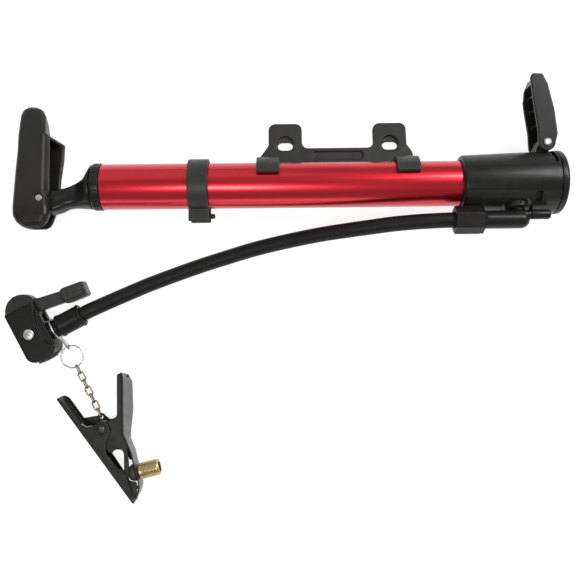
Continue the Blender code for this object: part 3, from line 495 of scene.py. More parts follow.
def make_housing():
    socket_r, shaft_r, boss_r = TUBE_R + FREE, 11.5, 6.6
    left_r, right_r = 16.5, 18.5
    profile = [(HOUSING_LEFT, socket_r), (HOUSING_LEFT, 15.5), (HOUSING_LEFT + 1.2, left_r),
               (HOUSING_RIGHT, right_r), (HOUSING_RIGHT, shaft_r), (119, shaft_r), (119, 5.0),
               (TUBE_RIGHT + FREE, 5.0), (TUBE_RIGHT + FREE, socket_r)]
    housing = lathe(profile, sides=160, radius=0.5)
    px, py = (joint_at("pedal_fold") - joint_at("rod_spin")).to_2d()
    lug = fillet([(px - 6.5, 15.0), (px + 3.4, 15.0)] + arc(px, py, 3.4, 0, 160, 24), 0.3)
    unite(housing, bevelled(prism(lug, -5.2, 5.2), 0.5))
    combine(housing, lathe([(-8, 0), (-8, 1.8), (8, 1.8), (8, 0)], "Z", (px, py, 0), 40))
    to_fitting = PUMP.inverted() @ FITTING
    boss = lathe([(13.5, 0), (13.5, boss_r), (19.2, boss_r), (19.2, 0)], "Y", sides=72, radius=0.6)
    unite(housing, moved(boss, to_fitting))
    combine(housing, moved(lathe([(8, 0), (8, 4.4), (24, 4.4), (24, 0)], "Y", sides=60), to_fitting))
    groove = lathe([(15.8, boss_r + 2.6), (15.8, boss_r + 0.2), (20.5, boss_r + 0.2), (20.5, boss_r + 2.6)], "Y",
                   sides=72)
    combine(housing, moved(groove, to_fitting))
    well = prism(rounded_outline(-1.9, -3.4, 1.9, 3.4, 1.0, 4), 15.6, 22.0)
    combine(housing, moved(well, Matrix.Translation((145.2, 0, 0)) @ Matrix.Rotation(radians(33), 4, "X")))
    notch = prism(rounded_outline(154.3, 9.6, 156.9, 21.0, 0.5, 3), 2.0, 22.0)
    combine(notch, lathe([(150, 0), (150, 16.6), (158, 16.6), (158, 0)], sides=96))
    combine(housing, notch)
    smooth_piece(bevelled(housing, 0.25, 2, 50), "base_shell", PUMP, "barrel", BLACK, "black_body",
                 "base_housing")


def make_base_parts():
    seat = lathe([(113.2, 2.2), (113.2, 4.7), (118.0, 4.7), (118.0, 2.2)], sides=64, radius=0.3)
    smooth_piece(seat, "outlet_seat", PUMP, "barrel", SEAL_RUBBER, "dark_rubber", "valve_seat")
    poppet = lathe([(113.6, 0), (113.6, 1.5), (118.3, 1.5), (118.3, 4.2), (119.6, 4.2), (119.6, 1.4),
                    (122.0, 1.2), (122.0, 0)], sides=64, radius=0.2)
    smooth_piece(poppet, "outlet_poppet", PUMP, "poppet", GREY_PLASTIC, "grey_plastic", "valve_poppet")
    turns, low, high = 4, 120.3, 125.2
    helix = [(low + (high - low) * s, 2.9 * cos(tau * turns * s), 2.9 * sin(tau * turns * s))
             for s in (i / 120 for i in range(121))]
    smooth_piece(sweep(helix, 0.33, 10), "outlet_spring", PUMP, "barrel", SPRING_STEEL, "steel",
                 "valve_spring")
    washer = lathe([(125.8, 2.0), (125.8, 11.2), (127.4, 11.2), (127.4, 2.0)], sides=80, radius=0.3)
    smooth_piece(washer, "outlet_retainer", PUMP, "barrel", GREY_PLASTIC, "grey_plastic",
                 "spring_retainer")
    rim = [(END_RIGHT - 2.4 + 2.4 * sin(radians(a)), END_R - 2.4 + 2.4 * cos(radians(a)))
           for a in range(0, 91, 10)]
    face = [(END_RIGHT - 0.5, 14.6), (END_RIGHT - 0.5, 9.2), (END_RIGHT, 8.8), (END_RIGHT, 5.4),
            (END_RIGHT - 2.4, 5.4), (END_RIGHT - 2.4, 1.9)]
    cover = lathe([(150, 1.9), (150, 11.2), (HOUSING_RIGHT + FREE, 11.2), (HOUSING_RIGHT + FREE, END_R - 0.15)]
                  + rim + [(END_RIGHT, 15.0)] + face, sides=160)
    tread = []
    for k in range(12):
        bar = prism(rounded_outline(9.9, -0.7, 14.0, 0.7, 0.6, 4), -1.0, 0.45)
        tread.append(moved(bar, Matrix.Translation((END_RIGHT - 0.45, 0, 0))
                           @ Matrix.Rotation(tau * k / 12, 4, "X") @ Matrix.Rotation(pi / 2, 4, "Y")))
    unite(cover, *tread)
    smooth_piece(cover, "base_foot", PUMP, "barrel", BLACK, "black_body", "base_end_cover")
    screw = lathe([(152, 0), (152, 1.6), (160.4, 1.6), (160.4, 4.2), (161.6, 4.2), (162.2, 3.2), (162.2, 0)],
                  sides=64)
    combine(screw, *cross_recess((161.2, 163.0), 2.4, 0.75, "X"))
    smooth_piece(screw, "base_screw", PUMP, "barrel", STEEL, "steel", "end_cover_screw")


def cross_recess(span, reach, width, axis="Z"):
    """The two slots of a cross-head screw."""
    turn = Matrix.Rotation(pi / 2, 4, "Y") if axis == "X" else Matrix.Identity(4)
    half = width / 2
    bars = ((reach, half), (half, reach))
    return [moved(prism([(-u, -v), (u, -v), (u, v), (-u, v)], *span), turn) for u, v in bars]


def make_bracket():
    """One moulding: a tilted plate with two slotted lugs, and two clips that snap round the tube."""
    near, far, inner_edge, strip_edge, lug_edge = -4.0, -8.05, 14.0, 26.0, 42.5
    left, right = BAND_CENTRES[0] - 6.75, BAND_CENTRES[1] + 6.75
    lug_a, lug_b = LUG_CENTRES
    half, r, steps = 10.25, 4.0, 10
    outline = [(left, inner_edge), (right, inner_edge), (right, 18.0)]
    outline += [(lug_b + half + 3, 23.5), (lug_b + half, 28.0)]
    outline += arc(lug_b + half - r, lug_edge - r, r, 0, 90, steps)
    outline += arc(lug_b - half + r, lug_edge - r, r, 90, 180, steps)
    outline += arc(lug_b - half - r, strip_edge + r, r, 0, -90, steps)
    outline += arc(lug_a + half + r, strip_edge + r, r, -90, -180, steps)
    outline += arc(lug_a + half - r, lug_edge - r, r, 0, 90, steps)
    outline += arc(lug_a - half + r, lug_edge - r, r, 90, 180, steps)
    outline += [(lug_a - half, 28.0), (lug_a - half - 3, 23.5), (left, 18.0)]
    bracket = prism(outline, far, near)
    trough = rounded_outline(lug_a + half + 6.5, 18.2, lug_b - half - 6.5, 24.0, 1.6, 5)
    combine(bracket, prism(trough, near - 1.3, near + 2))
    for x in LUG_CENTRES:
        combine(bracket, prism(rounded_outline(x - 5.2, 23.6, x + 5.2, 32.0, 2.0), near - 1.8, near + 2))
        dome = arc(x, 29.2, 5.0, 0, 180, 16)
        combine(bracket, prism(dome, near - 1.8, near + 2))
        slot = arc(x + 1.9, 28.3, 2.75, -90, 90, 12) + arc(x - 1.9, 28.3, 2.75, 90, 270, 12)
        combine(bracket, prism(slot, far - 2, near + 2))
    for x in BAND_CENTRES:
        inner, outer = TUBE_R + FREE, TUBE_R + 3.2
        band = arc(0, 0, outer, -113, 82.5, 60) + arc(0, 0, inner, 82.5, -113, 60)
        unite(bracket, prism(band, x - 6.75, x + 6.75, "X"))
    soften(bracket, 0.4, 5, 60000)
    finish_piece(bracket, "bottle_boss_bracket", BRACKET, "barrel", BRACKET_BLACK, "black_body", "frame_bracket")


def make_hose_clip():
    """Split plastic band on the tube with two jaws for the hose."""
    inner, outer, half, opening = TUBE_R + FREE, TUBE_R + 2.4, 6.0, 22
    outside = arc(0, 0, outer, 180 + opening, 540 - opening, 80)
    inside = arc(0, 0, inner, 540 - opening, 180 + opening, 80)
    lower = [(-21.2, -5.4), (-21.4, -6.6), (-20.4, -7.2)]
    upper = [(-20.4, 7.2), (-21.4, 6.6), (-21.2, 5.4)]
    clip = prism(lower + outside[1:-1] + upper + inside, HOSE_CLIP_X - half, HOSE_CLIP_X + half, "X")
    stop = lathe([(HOSE_CLIP_X + half - 1, 0), (HOSE_CLIP_X + half - 1, 1.5), (HOSE_CLIP_X + half + 2.4, 1.5),
                  (HOSE_CLIP_X + half + 2.4, 0)], centre=(0, -17.4, -7.0), sides=32)
    unite(clip, stop)
    soften(clip, 0.3, 5, 30000)
    finish_piece(clip, "hose_holder", PUMP, "barrel", BRACKET_BLACK, "black_body", "hose_clip")


# ---- rod, stem and handle
def make_rod():
    rod_r, bore_r, left, right = 5.0, 3.4, -115.1, 83.7
    rod = lathe([(left, bore_r), (left, rod_r), (right, rod_r), (right, bore_r)], sides=72, radius=0.3)
    smooth_piece(rod, "rod_tube", PUMP, "rod", ALLOY, "alloy", "piston_rod")
    body = BORE_R - 0.4
    piston = lathe([(84, 3.4), (84, body - 1), (85, body), (88, body), (88, 9.5), (92, 9.5), (92, body),
                    (97, body), (97, 3.4)], radius=0.3)
    smooth_piece(piston, "piston_disc", PUMP, "piston", GREY_PLASTIC, "grey_plastic", "piston")
    seal = lathe([(88.3, 9.8), (88.3, 12.1), (90, 12.3), (91.7, 12.1), (91.7, 9.8)], radius=0.3)
    smooth_piece(seal, "piston_lip", PUMP, "piston", SEAL_RUBBER, "dark_rubber", "piston_seal")
    bolt = lathe([(68, 0), (68, 3.0), (97.3, 3.0), (97.3, 5.2), (100.4, 5.2), (100.4, 0)], sides=64, radius=0.3)
    combine(bolt, *cross_recess((99.2, 102.0), 3.0, 0.9, "X"))
    smooth_piece(bolt, "rod_bolt", PUMP, "rod", STEEL, "steel", "piston_bolt")


def superellipse(x, top, bottom, half_width, power, count=56):
    middle, half = (top + bottom) / 2, (top - bottom) / 2
    points = []
    for i in range(count):
        c, s = cos(tau * i / count), sin(tau * i / count)
        points.append((x, middle + half * copysign(abs(c) ** power, c),
                       half_width * copysign(abs(s) ** power, s)))
    return points


def make_stem():
    """The flare on the rod's end narrows to a tongue with a round knuckle for the handle pin."""
    px, py = (TURNED.inverted() @ joint_at("handle_fold")).to_2d()
    rows = [(-115.5, 13.2, -13.2, 13.2, 1.0), (-116.4, 11.9, -13.1, 12.9, 0.95), (-117.8, 8.9, -12.9, 11.9, 0.9),
            (-120.6, 4.8, -12.7, 8.8, 0.8), (-124.7, 1.9, -12.7, 6.0, 0.7), (-129.4, -0.6, -13.2, 5.6, 0.6),
            (-133.0, -1.8, -14.9, 5.6, 0.5), (-137.5, -2.6, -16.2, 5.6, 0.45)]
    flare = [(*a, *b) for a, b in zip(smooth_curve([row[:3] for row in rows], 6),
                                      smooth_curve([(row[3], row[4], 0) for row in rows], 6))]
    sections = [superellipse(x, top, bottom, min(half, 13.2), power) for x, top, bottom, half, power, _ in flare]
    for a in range(0, 85, 8):
        drop, half = 7.0 * sin(radians(a)), 7.0 * cos(radians(a))
        sections.append(superellipse(px - drop, py + half, py - half, 5.6, 0.45))
    stem = loft(sections)
    unite(stem, lathe([(-117.5, 0), (-117.5, 3.1), (-100, 3.1), (-100, 0)], sides=48))
    combine(stem, lathe([(-9, 0), (-9, 2.3), (9, 2.3), (9, 0)], "Z", (px, py, 0), 40))
    finish_piece(smooth_shade(bevelled(stem, 0.2, 2, 60), 40), "grip_stem", TURNED, "rod", BLACK, "black_grip",
                 "handle_stem")
    pin = lathe([(-11.0, 0), (-11.0, 2.0), (11.0, 2.0), (11.0, 0)], "Z", (px, py, 0), 48, radius=0.4)
    smooth_piece(pin, "grip_pin", TURNED, "rod", STEEL, "steel", "handle_pin")


def handle_sections():
    """(y, left x, near right x, far right x, half thickness, corner radius), low end first."""
    return [(-27.2, -151.5, -143.4, -145.0, 6.0, 2.5), (-26.4, -154.0, -140.8, -143.5, 8.6, 3.5),
            (-24.0, -157.0, -138.4, -142.0, 10.8, 4.0), (-20.0, -159.0, -137.0, -141.0, 11.8, 4.0),
            (-15.0, -159.4, -137.4, -139.5, 12.0, 4.0), (-5.0, -159.4, -140.0, -137.0, 11.7, 4.0),
            (8.0, -159.4, -140.8, -136.4, 11.2, 4.0), (20.0, -159.2, -141.6, -135.0, 10.7, 4.0),
            (30.4, -159.2, -142.4, -135.2, 10.3, 3.0), (32.0, -159.2, -142.6, -145.0, 10.2, 3.0),
            (43.0, -159.2, -143.2, -147.0, 9.6, 4.0), (46.6, -158.2, -145.2, -148.0, 8.9, 4.0),
            (48.6, -156.4, -148.2, -150.0, 7.2, 3.0), (49.2, -154.6, -151.2, -151.6, 4.4, 1.5)]


def handle_section(y, left, near, far, half, r, steps):
    """One closed outline across the grip. Its low end is cut shorter on the far side."""
    right, lean = (near + far) / 2, (far - near) / 2
    points = []
    for x, z in rounded_outline(left, -half, right, half, min(r, (right - left) / 2.2, half * 0.9), steps):
        short = max(0.0, -18.0 - y) / 9.2 * 3.2 * (0.5 - z / (2 * half))
        points.append((x - lean * z / half * (x - left) / (right - left), y + short, z))
    return points


def make_handle():
    px, py = (TURNED.inverted() @ joint_at("handle_fold")).to_2d()
    grip = loft([[(x - px, y - py, z) for x, y, z in handle_section(*section, 8)]
                 for section in handle_sections()])
    back, deep = -151.6 - px, 24.6 - py
    pocket = [(back, -40 - py), (back, deep)] + arc(back + 4.0, deep, 4.0, 180, 90, 8)[1:]
    pocket += [(-120 - px, 28.6 - py), (-120 - px, -40 - py)]
    combine(grip, prism(pocket, -6.0, 6.0), lathe([(-14, 0), (-14, 2.3), (14, 2.3), (14, 0)], "Z", sides=40))
    soften(grip, 0.42, 7, 60000)
    finish_piece(grip, "grip", HANDLE, "handle", GRIP, "black_grip", "handle_grip")


# ---- foot pedal
def make_pedal():
    """A tapered channel, open towards the tube, on a pin through the lug. Its far side slopes."""
    half, wall = 10.0, 2.0
    side = arc(0, 0, 5.0, 180, 360, 20) + [(6.2, 5.0), (4.4, 19.0), (0.6, 34.2), (-2.4, 39.9), (-8.2, 40.2),
                                           (-9.4, 38.0), (-7.6, 22.0), (-5.4, 8.0)]
    pedal = prism(side, -half, half)
    inner = [(-20, -9), (-20, 36.2), (-8.0, 36.2), (-2.2, 33.0), (2.2, 18.6), (4.0, 7.0), (3.8, 4.0),
             (3.8, -1.6), (9, -1.6), (9, -9)]
    combine(pedal, prism(inner, wall - half, half - wall))
    for y in (12.0, 21.0, 29.0):
        lean = -0.165 * y
        rib = [(lean - 0.6, y - 0.8), (lean + 5.4, y - 0.8), (lean + 5.4, y + 0.8), (lean - 0.6, y + 0.8)]
        unite(pedal, prism(rib, wall - half - 0.5, half - wall + 0.5))
    slope = [(-12, 28.0), (-7.9, 28.0), (-7.5, 33.6), (-4.4, 41.5), (-12, 41.5)]
    combine(pedal, lathe([(-12, 0), (-12, 1.8), (12, 1.8), (12, 0)], "Z", sides=40), prism(slope, -11.0, 7.9))
    soften(pedal, 0.3, 4, 50000)
    finish_piece(pedal, "step_pedal", PEDAL, "pedal", BLACK, "black_body", "foot_pedal")
    pin = lathe([(-10.4, 0), (-10.4, 1.5), (10.3, 1.5), (10.3, 2.2), (10.8, 2.2), (11.2, 1.6), (11.2, 0)], "Z",
                sides=48)
    smooth_piece(pin, "step_pin", PEDAL, "barrel", SPRING_STEEL, "steel", "pedal_pin")


# ---- hose and its fitting
def make_fitting():
    """In the fitting's frame +Y points away from the pump axis through the boss, and X is along the pump."""
    r, out = 5.3, FITTING_OUT
    plug_centre = (0, out - 1.8, -2.4)
    nose = [(6.4 - r + r * sin(radians(a)), r * cos(radians(a))) for a in range(0, 76, 8)]
    elbow = lathe([(-20.2, 0), (-20.2, r - 0.4), (-19.6, r)] + nose + [(6.4, 0)], centre=(0, out, 0), sides=72)
    stub = lathe([(7.6, 0), (7.6, 3.9), (8.6, 3.9), (8.6, 3.0), (9.6, 3.0), (9.6, 4.0), (14.0, 4.0), (14.0, 3.3),
                  (15.4, 3.3), (15.4, 4.0), (out - 2, 4.0), (out - 2, 0)], "Y", sides=64)
    neck = lathe([(-2, 0), (-2, 2.6), (6.4, 2.6), (6.4, 0)], centre=plug_centre, sides=56)
    unite(elbow, stub, neck)
    soften(elbow, 0.25, 4, 40000)
    finish_piece(elbow, "elbow", FITTING, "hose", BLACK, "black_head", "swivel_elbow")
    washer = lathe([(8.8, 3.3), (8.8, 6.3), (9.4, 6.3), (9.4, 3.3)], "Y", sides=64, radius=0.15)
    smooth_piece(washer, "elbow_washer", FITTING, "hose", STEEL, "steel", "swivel_washer")
    seal = lathe([(14.3, 3.5), (14.3, 4.1), (15.1, 4.1), (15.1, 3.5)], "Y", sides=64, radius=0.25)
    smooth_piece(seal, "elbow_seal", FITTING, "hose", SEAL_RUBBER, "dark_rubber", "swivel_o_ring")
    plug = lathe([(6.7, 0), (6.7, 2.9), (17.0, 2.9), (18.0, 2.0), (18.0, 0)], centre=plug_centre, sides=56,
                 radius=0.5)
    combine(plug, moved(prism([(-1.9, -0.4), (1.9, -0.4), (1.9, 0.4), (-1.9, 0.4)], 17.2, 19.0, "X"),
                        Matrix.Translation(plug_centre)))
    smooth_piece(plug, "elbow_stopper", FITTING, "hose", BLACK, "black_head", "elbow_plug")


def make_nut():
    """Six-sided hose nut with a flat towards the tube, chamfered like a turned nut, and the barb inside it."""
    across, bore, out = 14.6, 4.85, FITTING_OUT
    corner = across / sqrt(3)
    flats = [(corner * cos(radians(a)), corner * sin(radians(a))) for a in range(0, 360, 60)]
    nut = prism(fillet([(out + y, z) for z, y in flats], 0.6), -37.4, -20.6, "X")
    trim = lathe([(-38, 0), (-38, 7.1), (-36.6, 8.6), (-22.6, 8.6), (-22.2, 7.9), (-21.6, 7.9), (-21.0, 8.5),
                  (-20.0, 8.0), (-20.0, 0)], centre=(0, out, 0), sides=120)
    combine(nut, trim, operation="INTERSECT")
    combine(nut, lathe([(-50, 0), (-50, bore), (-10, bore), (-10, 0)], centre=(0, out, 0), sides=72))
    soften(nut, 0.25, 3, 40000)
    finish_piece(nut, "hose_union_nut", FITTING, "hose", NUT_PLASTIC, "nut", "hose_nut")
    teeth = [(-28.6, 3.2), (-27.2, 4.25), (-26.9, 3.5), (-25.2, 4.3), (-24.9, 3.5), (-23.2, 4.3), (-22.9, 3.6),
             (-21.0, 4.3)]
    barb = lathe([(-28.6, 1.6)] + teeth + [(-21.0, 1.6)], centre=(0, out, 0), sides=56)
    smooth_piece(barb, "hose_tail", FITTING, "hose", BRASS, "brass", "hose_barb")


def head_point(x, y=COLLAR_Y):
    return HEAD @ Vector((x, y, 0))


def make_hose():
    """The hose from end to end, as one smooth line from inside the nut to inside the head's collar."""
    first = [FITTING @ Vector((x, FITTING_OUT, 0)) for x in (-29.0, -36.0)]
    middle = [(88.0, 38.3, 29.2), (76.0, 37.8, 28.2), (63.0, 36.9, 26.3), (50.0, 35.5, 23.6), (36.0, 33.9, 20.0),
              (22.0, 32.2, 16.2), (8.0, 29.9, 12.6), (-7.0, 27.0, 9.4), (-22.0, 23.5, 7.0), (-38.0, 18.9, 5.4),
              (-54.0, 14.0, 4.8), (-70.0, 8.5, 4.7), (-85.0, 3.0, 5.1), (-98.0, -2.4, 6.2), (-110.0, -7.6, 7.7)]
    last = [head_point(x) for x in (35.0, 27.0, 20.3)]
    route = first + [Vector(p) + LAYOUT_SHIFT for p in middle] + last
    line = smooth_curve(route, 6)
    length = sum((b - a).length for a, b in zip(line, line[1:])) * MM
    exit_at = FITTING @ Vector((-37.4, FITTING_OUT, 0)) * MM
    tube = sweep(line, HOSE_R, 40)
    smooth_shade(tube)
    finish_piece(tube, "rubber_hose", Matrix.Identity(4), "hose", HOSE_RUBBER, "dark_rubber", "hose")
    return tube, [p * MM for p in line], length, exit_at


# ---- valve head
def make_head():
    """In the head's frame X runs along the hose, -Y towards the valve mouth, and z = 0 is its middle plane."""
    outline = [(9.5, 2.6), (-9.5, 2.6)] + arc(-3.5, -26.0, 6.0, 180, 270, 16) + arc(3.5, -26.0, 6.0, 270, 360,
                                                                                    16)
    body = bevelled(prism(outline, -8.9, 8.9), 1.3, 4)
    combine(body, prism([(-20, 10), (-20, -11.3), (20, -11.3), (20, 10)], -4.1, 4.1))
    unite(body, lathe([(8, 0), (8, 5.6), (14.2, 5.6), (14.2, 4.4), (17.4, 4.4), (17.4, 0)],
                      centre=(0, COLLAR_Y, 0), sides=64))
    combine(body, lathe([(2, 0), (2, 1.8), (25, 1.8), (25, 0)], centre=(0, COLLAR_Y, 0), sides=40),
            lathe([(-40, 0), (-40, 6.7), (-28.6, 6.7), (-28.6, 5.6), (-22.0, 5.6), (-22.0, 4.6), (-15.0, 4.6),
                   (-15.0, 2.5), (-9.1, 2.5), (-9.1, 0)], "Y", sides=64),
            lathe([(-7.4, 0), (-7.4, 1.9), (7.4, 1.9), (7.4, 0)], "Z", sides=40))
    screw_x, screw_y = -1.7, -14.6
    combine(body, lathe([(5.2, 0), (5.2, 1.3), (7.2, 1.3), (7.2, 3.6), (12, 3.6), (12, 0)], "Z",
                        (screw_x, screw_y, 0), 48))
    recess = [(10.5, -2.8), (8.1, -3.4), (5.2, -11.5), (4.9, -22.0), (7.2, -25.8), (11.5, -26.5)]
    combine(body, prism(fillet(recess, 1.6), 7.3, 12.0))
    soften(body, 0.28, 4, 60000)
    finish_piece(body, "valve_head_shell", HEAD, "hose", HEAD_PLASTIC, "black_head", "head_body")
    screw = lathe([(5.5, 0), (5.5, 1.0), (7.5, 1.0), (7.5, 3.3), (8.3, 3.3), (8.8, 2.4), (8.8, 0)], "Z",
                  (screw_x, screw_y, 0), 48)
    recesses = [moved(bar, Matrix.Translation((screw_x, screw_y, 0)) @ Matrix.Rotation(0.5, 4, "Z"))
                for bar in cross_recess((8.1, 9.5), 2.0, 0.7)]
    combine(screw, *recesses)
    smooth_piece(screw, "valve_head_screw", HEAD, "hose", STEEL, "steel", "head_screw")
    ring = lathe([(-33.0, 4.3), (-33.0, 5.9), (-32.4, 6.4), (-29.0, 6.4), (-29.0, 4.3)], "Y", sides=72,
                 radius=0.3)
    knurl = []
    for k in range(30):
        turn = Matrix.Rotation(tau * k / 30, 4, "Y")
        knurl.append(moved(prism(rounded_outline(6.2, -32.2, 6.9, -29.6, 0.2, 2), -0.2, 0.2), turn))
    combine(ring, *knurl)
    smooth_piece(ring, "mouth_ring", HEAD, "hose", BLACK, "black_head", "valve_collar")
    grommet = lathe([(-28.3, 3.75), (-28.3, 5.3), (-22.3, 5.3), (-22.3, 3.75)], "Y", sides=64, radius=0.5)
    smooth_piece(grommet, "mouth_grommet", HEAD, "hose", SEAT_RUBBER, "brown_rubber", "valve_grommet")
    collar = lathe([(14.6, 4.75), (14.6, 6.6), (15.2, 7.0), (16.6, 7.0), (16.9, 6.6), (28.6, 6.7), (29.2, 7.0),
                    (29.9, 7.0), (30.6, 6.2), (30.6, 4.85), (18.0, 4.85)], centre=(0, COLLAR_Y, 0), sides=96,
                   radius=0.25)
    smooth_piece(collar, "hose_sleeve", HEAD, "hose", HEAD_PLASTIC, "black_head", "head_collar")
    pin = lathe([(-7.0, 0), (-7.0, 1.6), (7.0, 1.6), (7.0, 0)], "Z", sides=40, radius=0.3)
    smooth_piece(pin, "thumb_lever_pin", HEAD, "hose", STEEL, "steel", "lever_pin")
    plunger = lathe([(-20.4, 0), (-20.4, 4.2), (-15.4, 4.2), (-15.4, 2.1), (-10.9, 2.1), (-10.9, 0)], "Y",
                    sides=56, radius=0.3)
    smooth_piece(plunger, "valve_plunger", HEAD, "plunger", GREY_PLASTIC, "grey_plastic", "head_plunger")


def make_lever():
    """Round cam between the head's cheeks, a flat arm beside the hose, and a thumb paddle at its end."""
    half = 3.8
    turn = Matrix.Rotation(radians(-7.5), 2)
    piece = prism(arc(0, 0, 10.4, 0, 358, 90), -half, half)
    arm = [turn @ Vector(p) for p in ((4.0, -3.4), (27.0, -3.6), (27.0, 3.8), (12.5, 4.4), (4.0, 6.5))]
    unite(piece, prism(arm, -half, half))
    paddle = [turn @ Vector(p) for p in fillet([(25.4, 3.4), (27.4, 5.0), (41.0, 5.0), (41.4, -4.6),
                                                (27.0, -5.0)], 1.6)]
    unite(piece, bevelled(prism(paddle, -half + 0.5, half + 2.2), 0.7))
    dish = [turn @ Vector(p) for p in rounded_outline(27.8, -3.2, 39.6, 0.4, 1.2, 6)]
    combine(piece, prism(dish, half + 1.5, half + 4), lathe([(-12, 0), (-12, 1.9), (12, 1.9), (12, 0)], "Z",
                                                            sides=40))
    soften(piece, 0.26, 4, 50000)
    finish_piece(piece, "thumb_lever", HEAD, "lever", LEVER_PLASTIC, "black_head", "head_lever")


# ---- tether
def wire_ring(centre, major, minor, normal="Z", turns=96, sides=14):
    points = []
    for i in range(turns):
        c, s = major * cos(tau * i / turns), major * sin(tau * i / turns)
        points.append(Vector(centre) + Vector({"Z": (c, s, 0), "X": (0, c, s)}[normal]))
    return sweep(points, minor, sides, closed=True)


def make_neck_loop():
    """Wire loop round the head's neck with a flat eye hanging from it."""
    x, (ey, ez) = 11.9, EYE
    loop = wire_ring((x, COLLAR_Y, 0), 6.75, 0.58, "X")
    strip = fillet([(-23.9, -2.0), (-24.6, 1.2)] + arc(ey, ez, 2.2, 135, 315, 20), 0.2)
    unite(loop, prism(strip, x - 0.5, x + 0.5, "X"))
    combine(loop, prism(arc(ey, ez, 1.25, 0, 350, 30), x - 3, x + 3, "X"))
    finish_piece(smooth_shade(loop, 50), "neck_wire", HEAD, "hose", STEEL, "steel", "neck_loop")


def make_tether():
    """Split ring wound nearly twice, and a chain of short links to the clip's ear."""
    turns, pitch, count = 1.9, 0.42, 200
    coil = []
    for i in range(count + 1):
        a, rise = tau * turns * i / count, pitch * turns * (i / count - 0.5)
        section = []
        for b in (tau * k / 12 for k in range(12)):
            r = RING_R + 0.48 * cos(b)
            section.append((RING_AT[0] + r * cos(a), RING_AT[1] + r * sin(a), EYE[1] + rise + 0.19 * sin(b)))
        coil.append(section)
    finish_piece(smooth_shade(loft(coil), 60), "key_ring", HEAD, "tether", STEEL, "chain", "split_ring")
    start_centre = (HEAD @ Vector((*RING_AT, 0))).xy.to_3d()
    end = (SIDE @ Vector((*EAR_HOLE, 0))).xy.to_3d()
    start = start_centre + (end - start_centre).normalized() * RING_R
    run = end - start
    wire_r, inner_half, slack = 0.45, 1.25, 0.2
    end_r = inner_half + wire_r
    hook = wire_r + RING_WIRE + 0.1
    pitch = (run.length - 2 * end_r + hook + 2 * inner_half - slack) / CHAIN_LINKS
    straight = pitch + slack - 2 * inner_half
    first = straight / 2 + end_r - hook
    for i in range(CHAIN_LINKS):
        at = start + run.normalized() * (first + pitch * i)
        at.z = CHAIN_Z
        roll = pi / 2 if i % 2 == 0 else 0.0
        place = (Matrix.Translation(at) @ Matrix.Rotation(atan2(run.y, run.x), 4, "Z")
                 @ Matrix.Rotation(roll, 4, "X"))
        line = []
        for k in range(56):
            a = tau * (k + 0.5) / 56
            line.append((end_r * cos(a) + copysign(straight / 2, cos(a)), end_r * sin(a), 0))
        smooth_piece(sweep(line, wire_r + 0.08, 12, closed=True), f"chain_wire_{i + 1}", place, "tether",
                     CHAIN_STEEL, "chain", f"chain_link_{i + 1}")


# ---- clip-on valve adapter
def make_clip_left():
    """Straight channel half: web on its outer edge, and a cheek on each side round the rivet."""
    length = LEFT_LENGTH
    half = prism([(0.6, 0.0), (length - 1, 0.0), (length, 0.6), (length - 1, 1.1), (0.0, 1.1)], 0.3, 13.8)
    near = [(0.4, 0.4), (LEFT_LENGTH - 2, 0.4), (76.0, 2.4), (64.0, 6.6), (58.4, 7.0), (56.4, 5.2), (45.0, 4.7),
            (39.5, 8.5), (36.0, 14.6), (31.0, 16.4), (27.4, 15.6), (26.6, 10.0), (25.2, 4.8), (21.0, 2.6),
            (4.0, 2.4), (1.4, 1.8)]
    unite(half, prism(fillet(near, 1.2), 12.8, 13.8))
    far = [(0.4, 0.4), (LEFT_LENGTH - 2, 0.4), (76.0, 2.4), (60.0, 4.0), (45.0, 4.6), (39.5, 8.5), (36.0, 14.6),
           (31.0, 16.4)]
    far += arc(*EAR_HOLE, 2.5, 80, 215, 14) + [(19.0, 3.4), (4.0, 3.4), (1.4, 2.4)]
    unite(half, prism(far, 1.7, 2.7))
    combine(half, prism(arc(*RIVET_AT, RIVET_HOLE_R, 0, 355, 48), -2, 18),
            prism(arc(*EAR_HOLE, 1.1, 0, 350, 20), -2, 6))
    soften(half, 0.24, 3, 50000)
    finish_piece(half, "clip_long_jaw", SIDE, "clip", CLIP_BLACK, "nickel", "clip_left_half")


def bent_strip(near_line, far_line, thick, low, high):
    """A bent strip standing between two heights, whose line may differ at the top and the bottom."""
    def offset(line, by):
        out = []
        for i, p in enumerate(line):
            t = (Vector(line[min(i + 1, len(line) - 1)]) - Vector(line[max(i - 1, 0)])).normalized()
            out.append((p[0] - t.y * by, p[1] + t.x * by))
        return out
    outer_far, outer_near = offset(far_line, thick), offset(near_line, thick)
    sections = [[(*far_line[i], low), (*outer_far[i], low), (*outer_near[i], high), (*near_line[i], high)]
                for i in range(len(near_line))]
    return loft(sections)


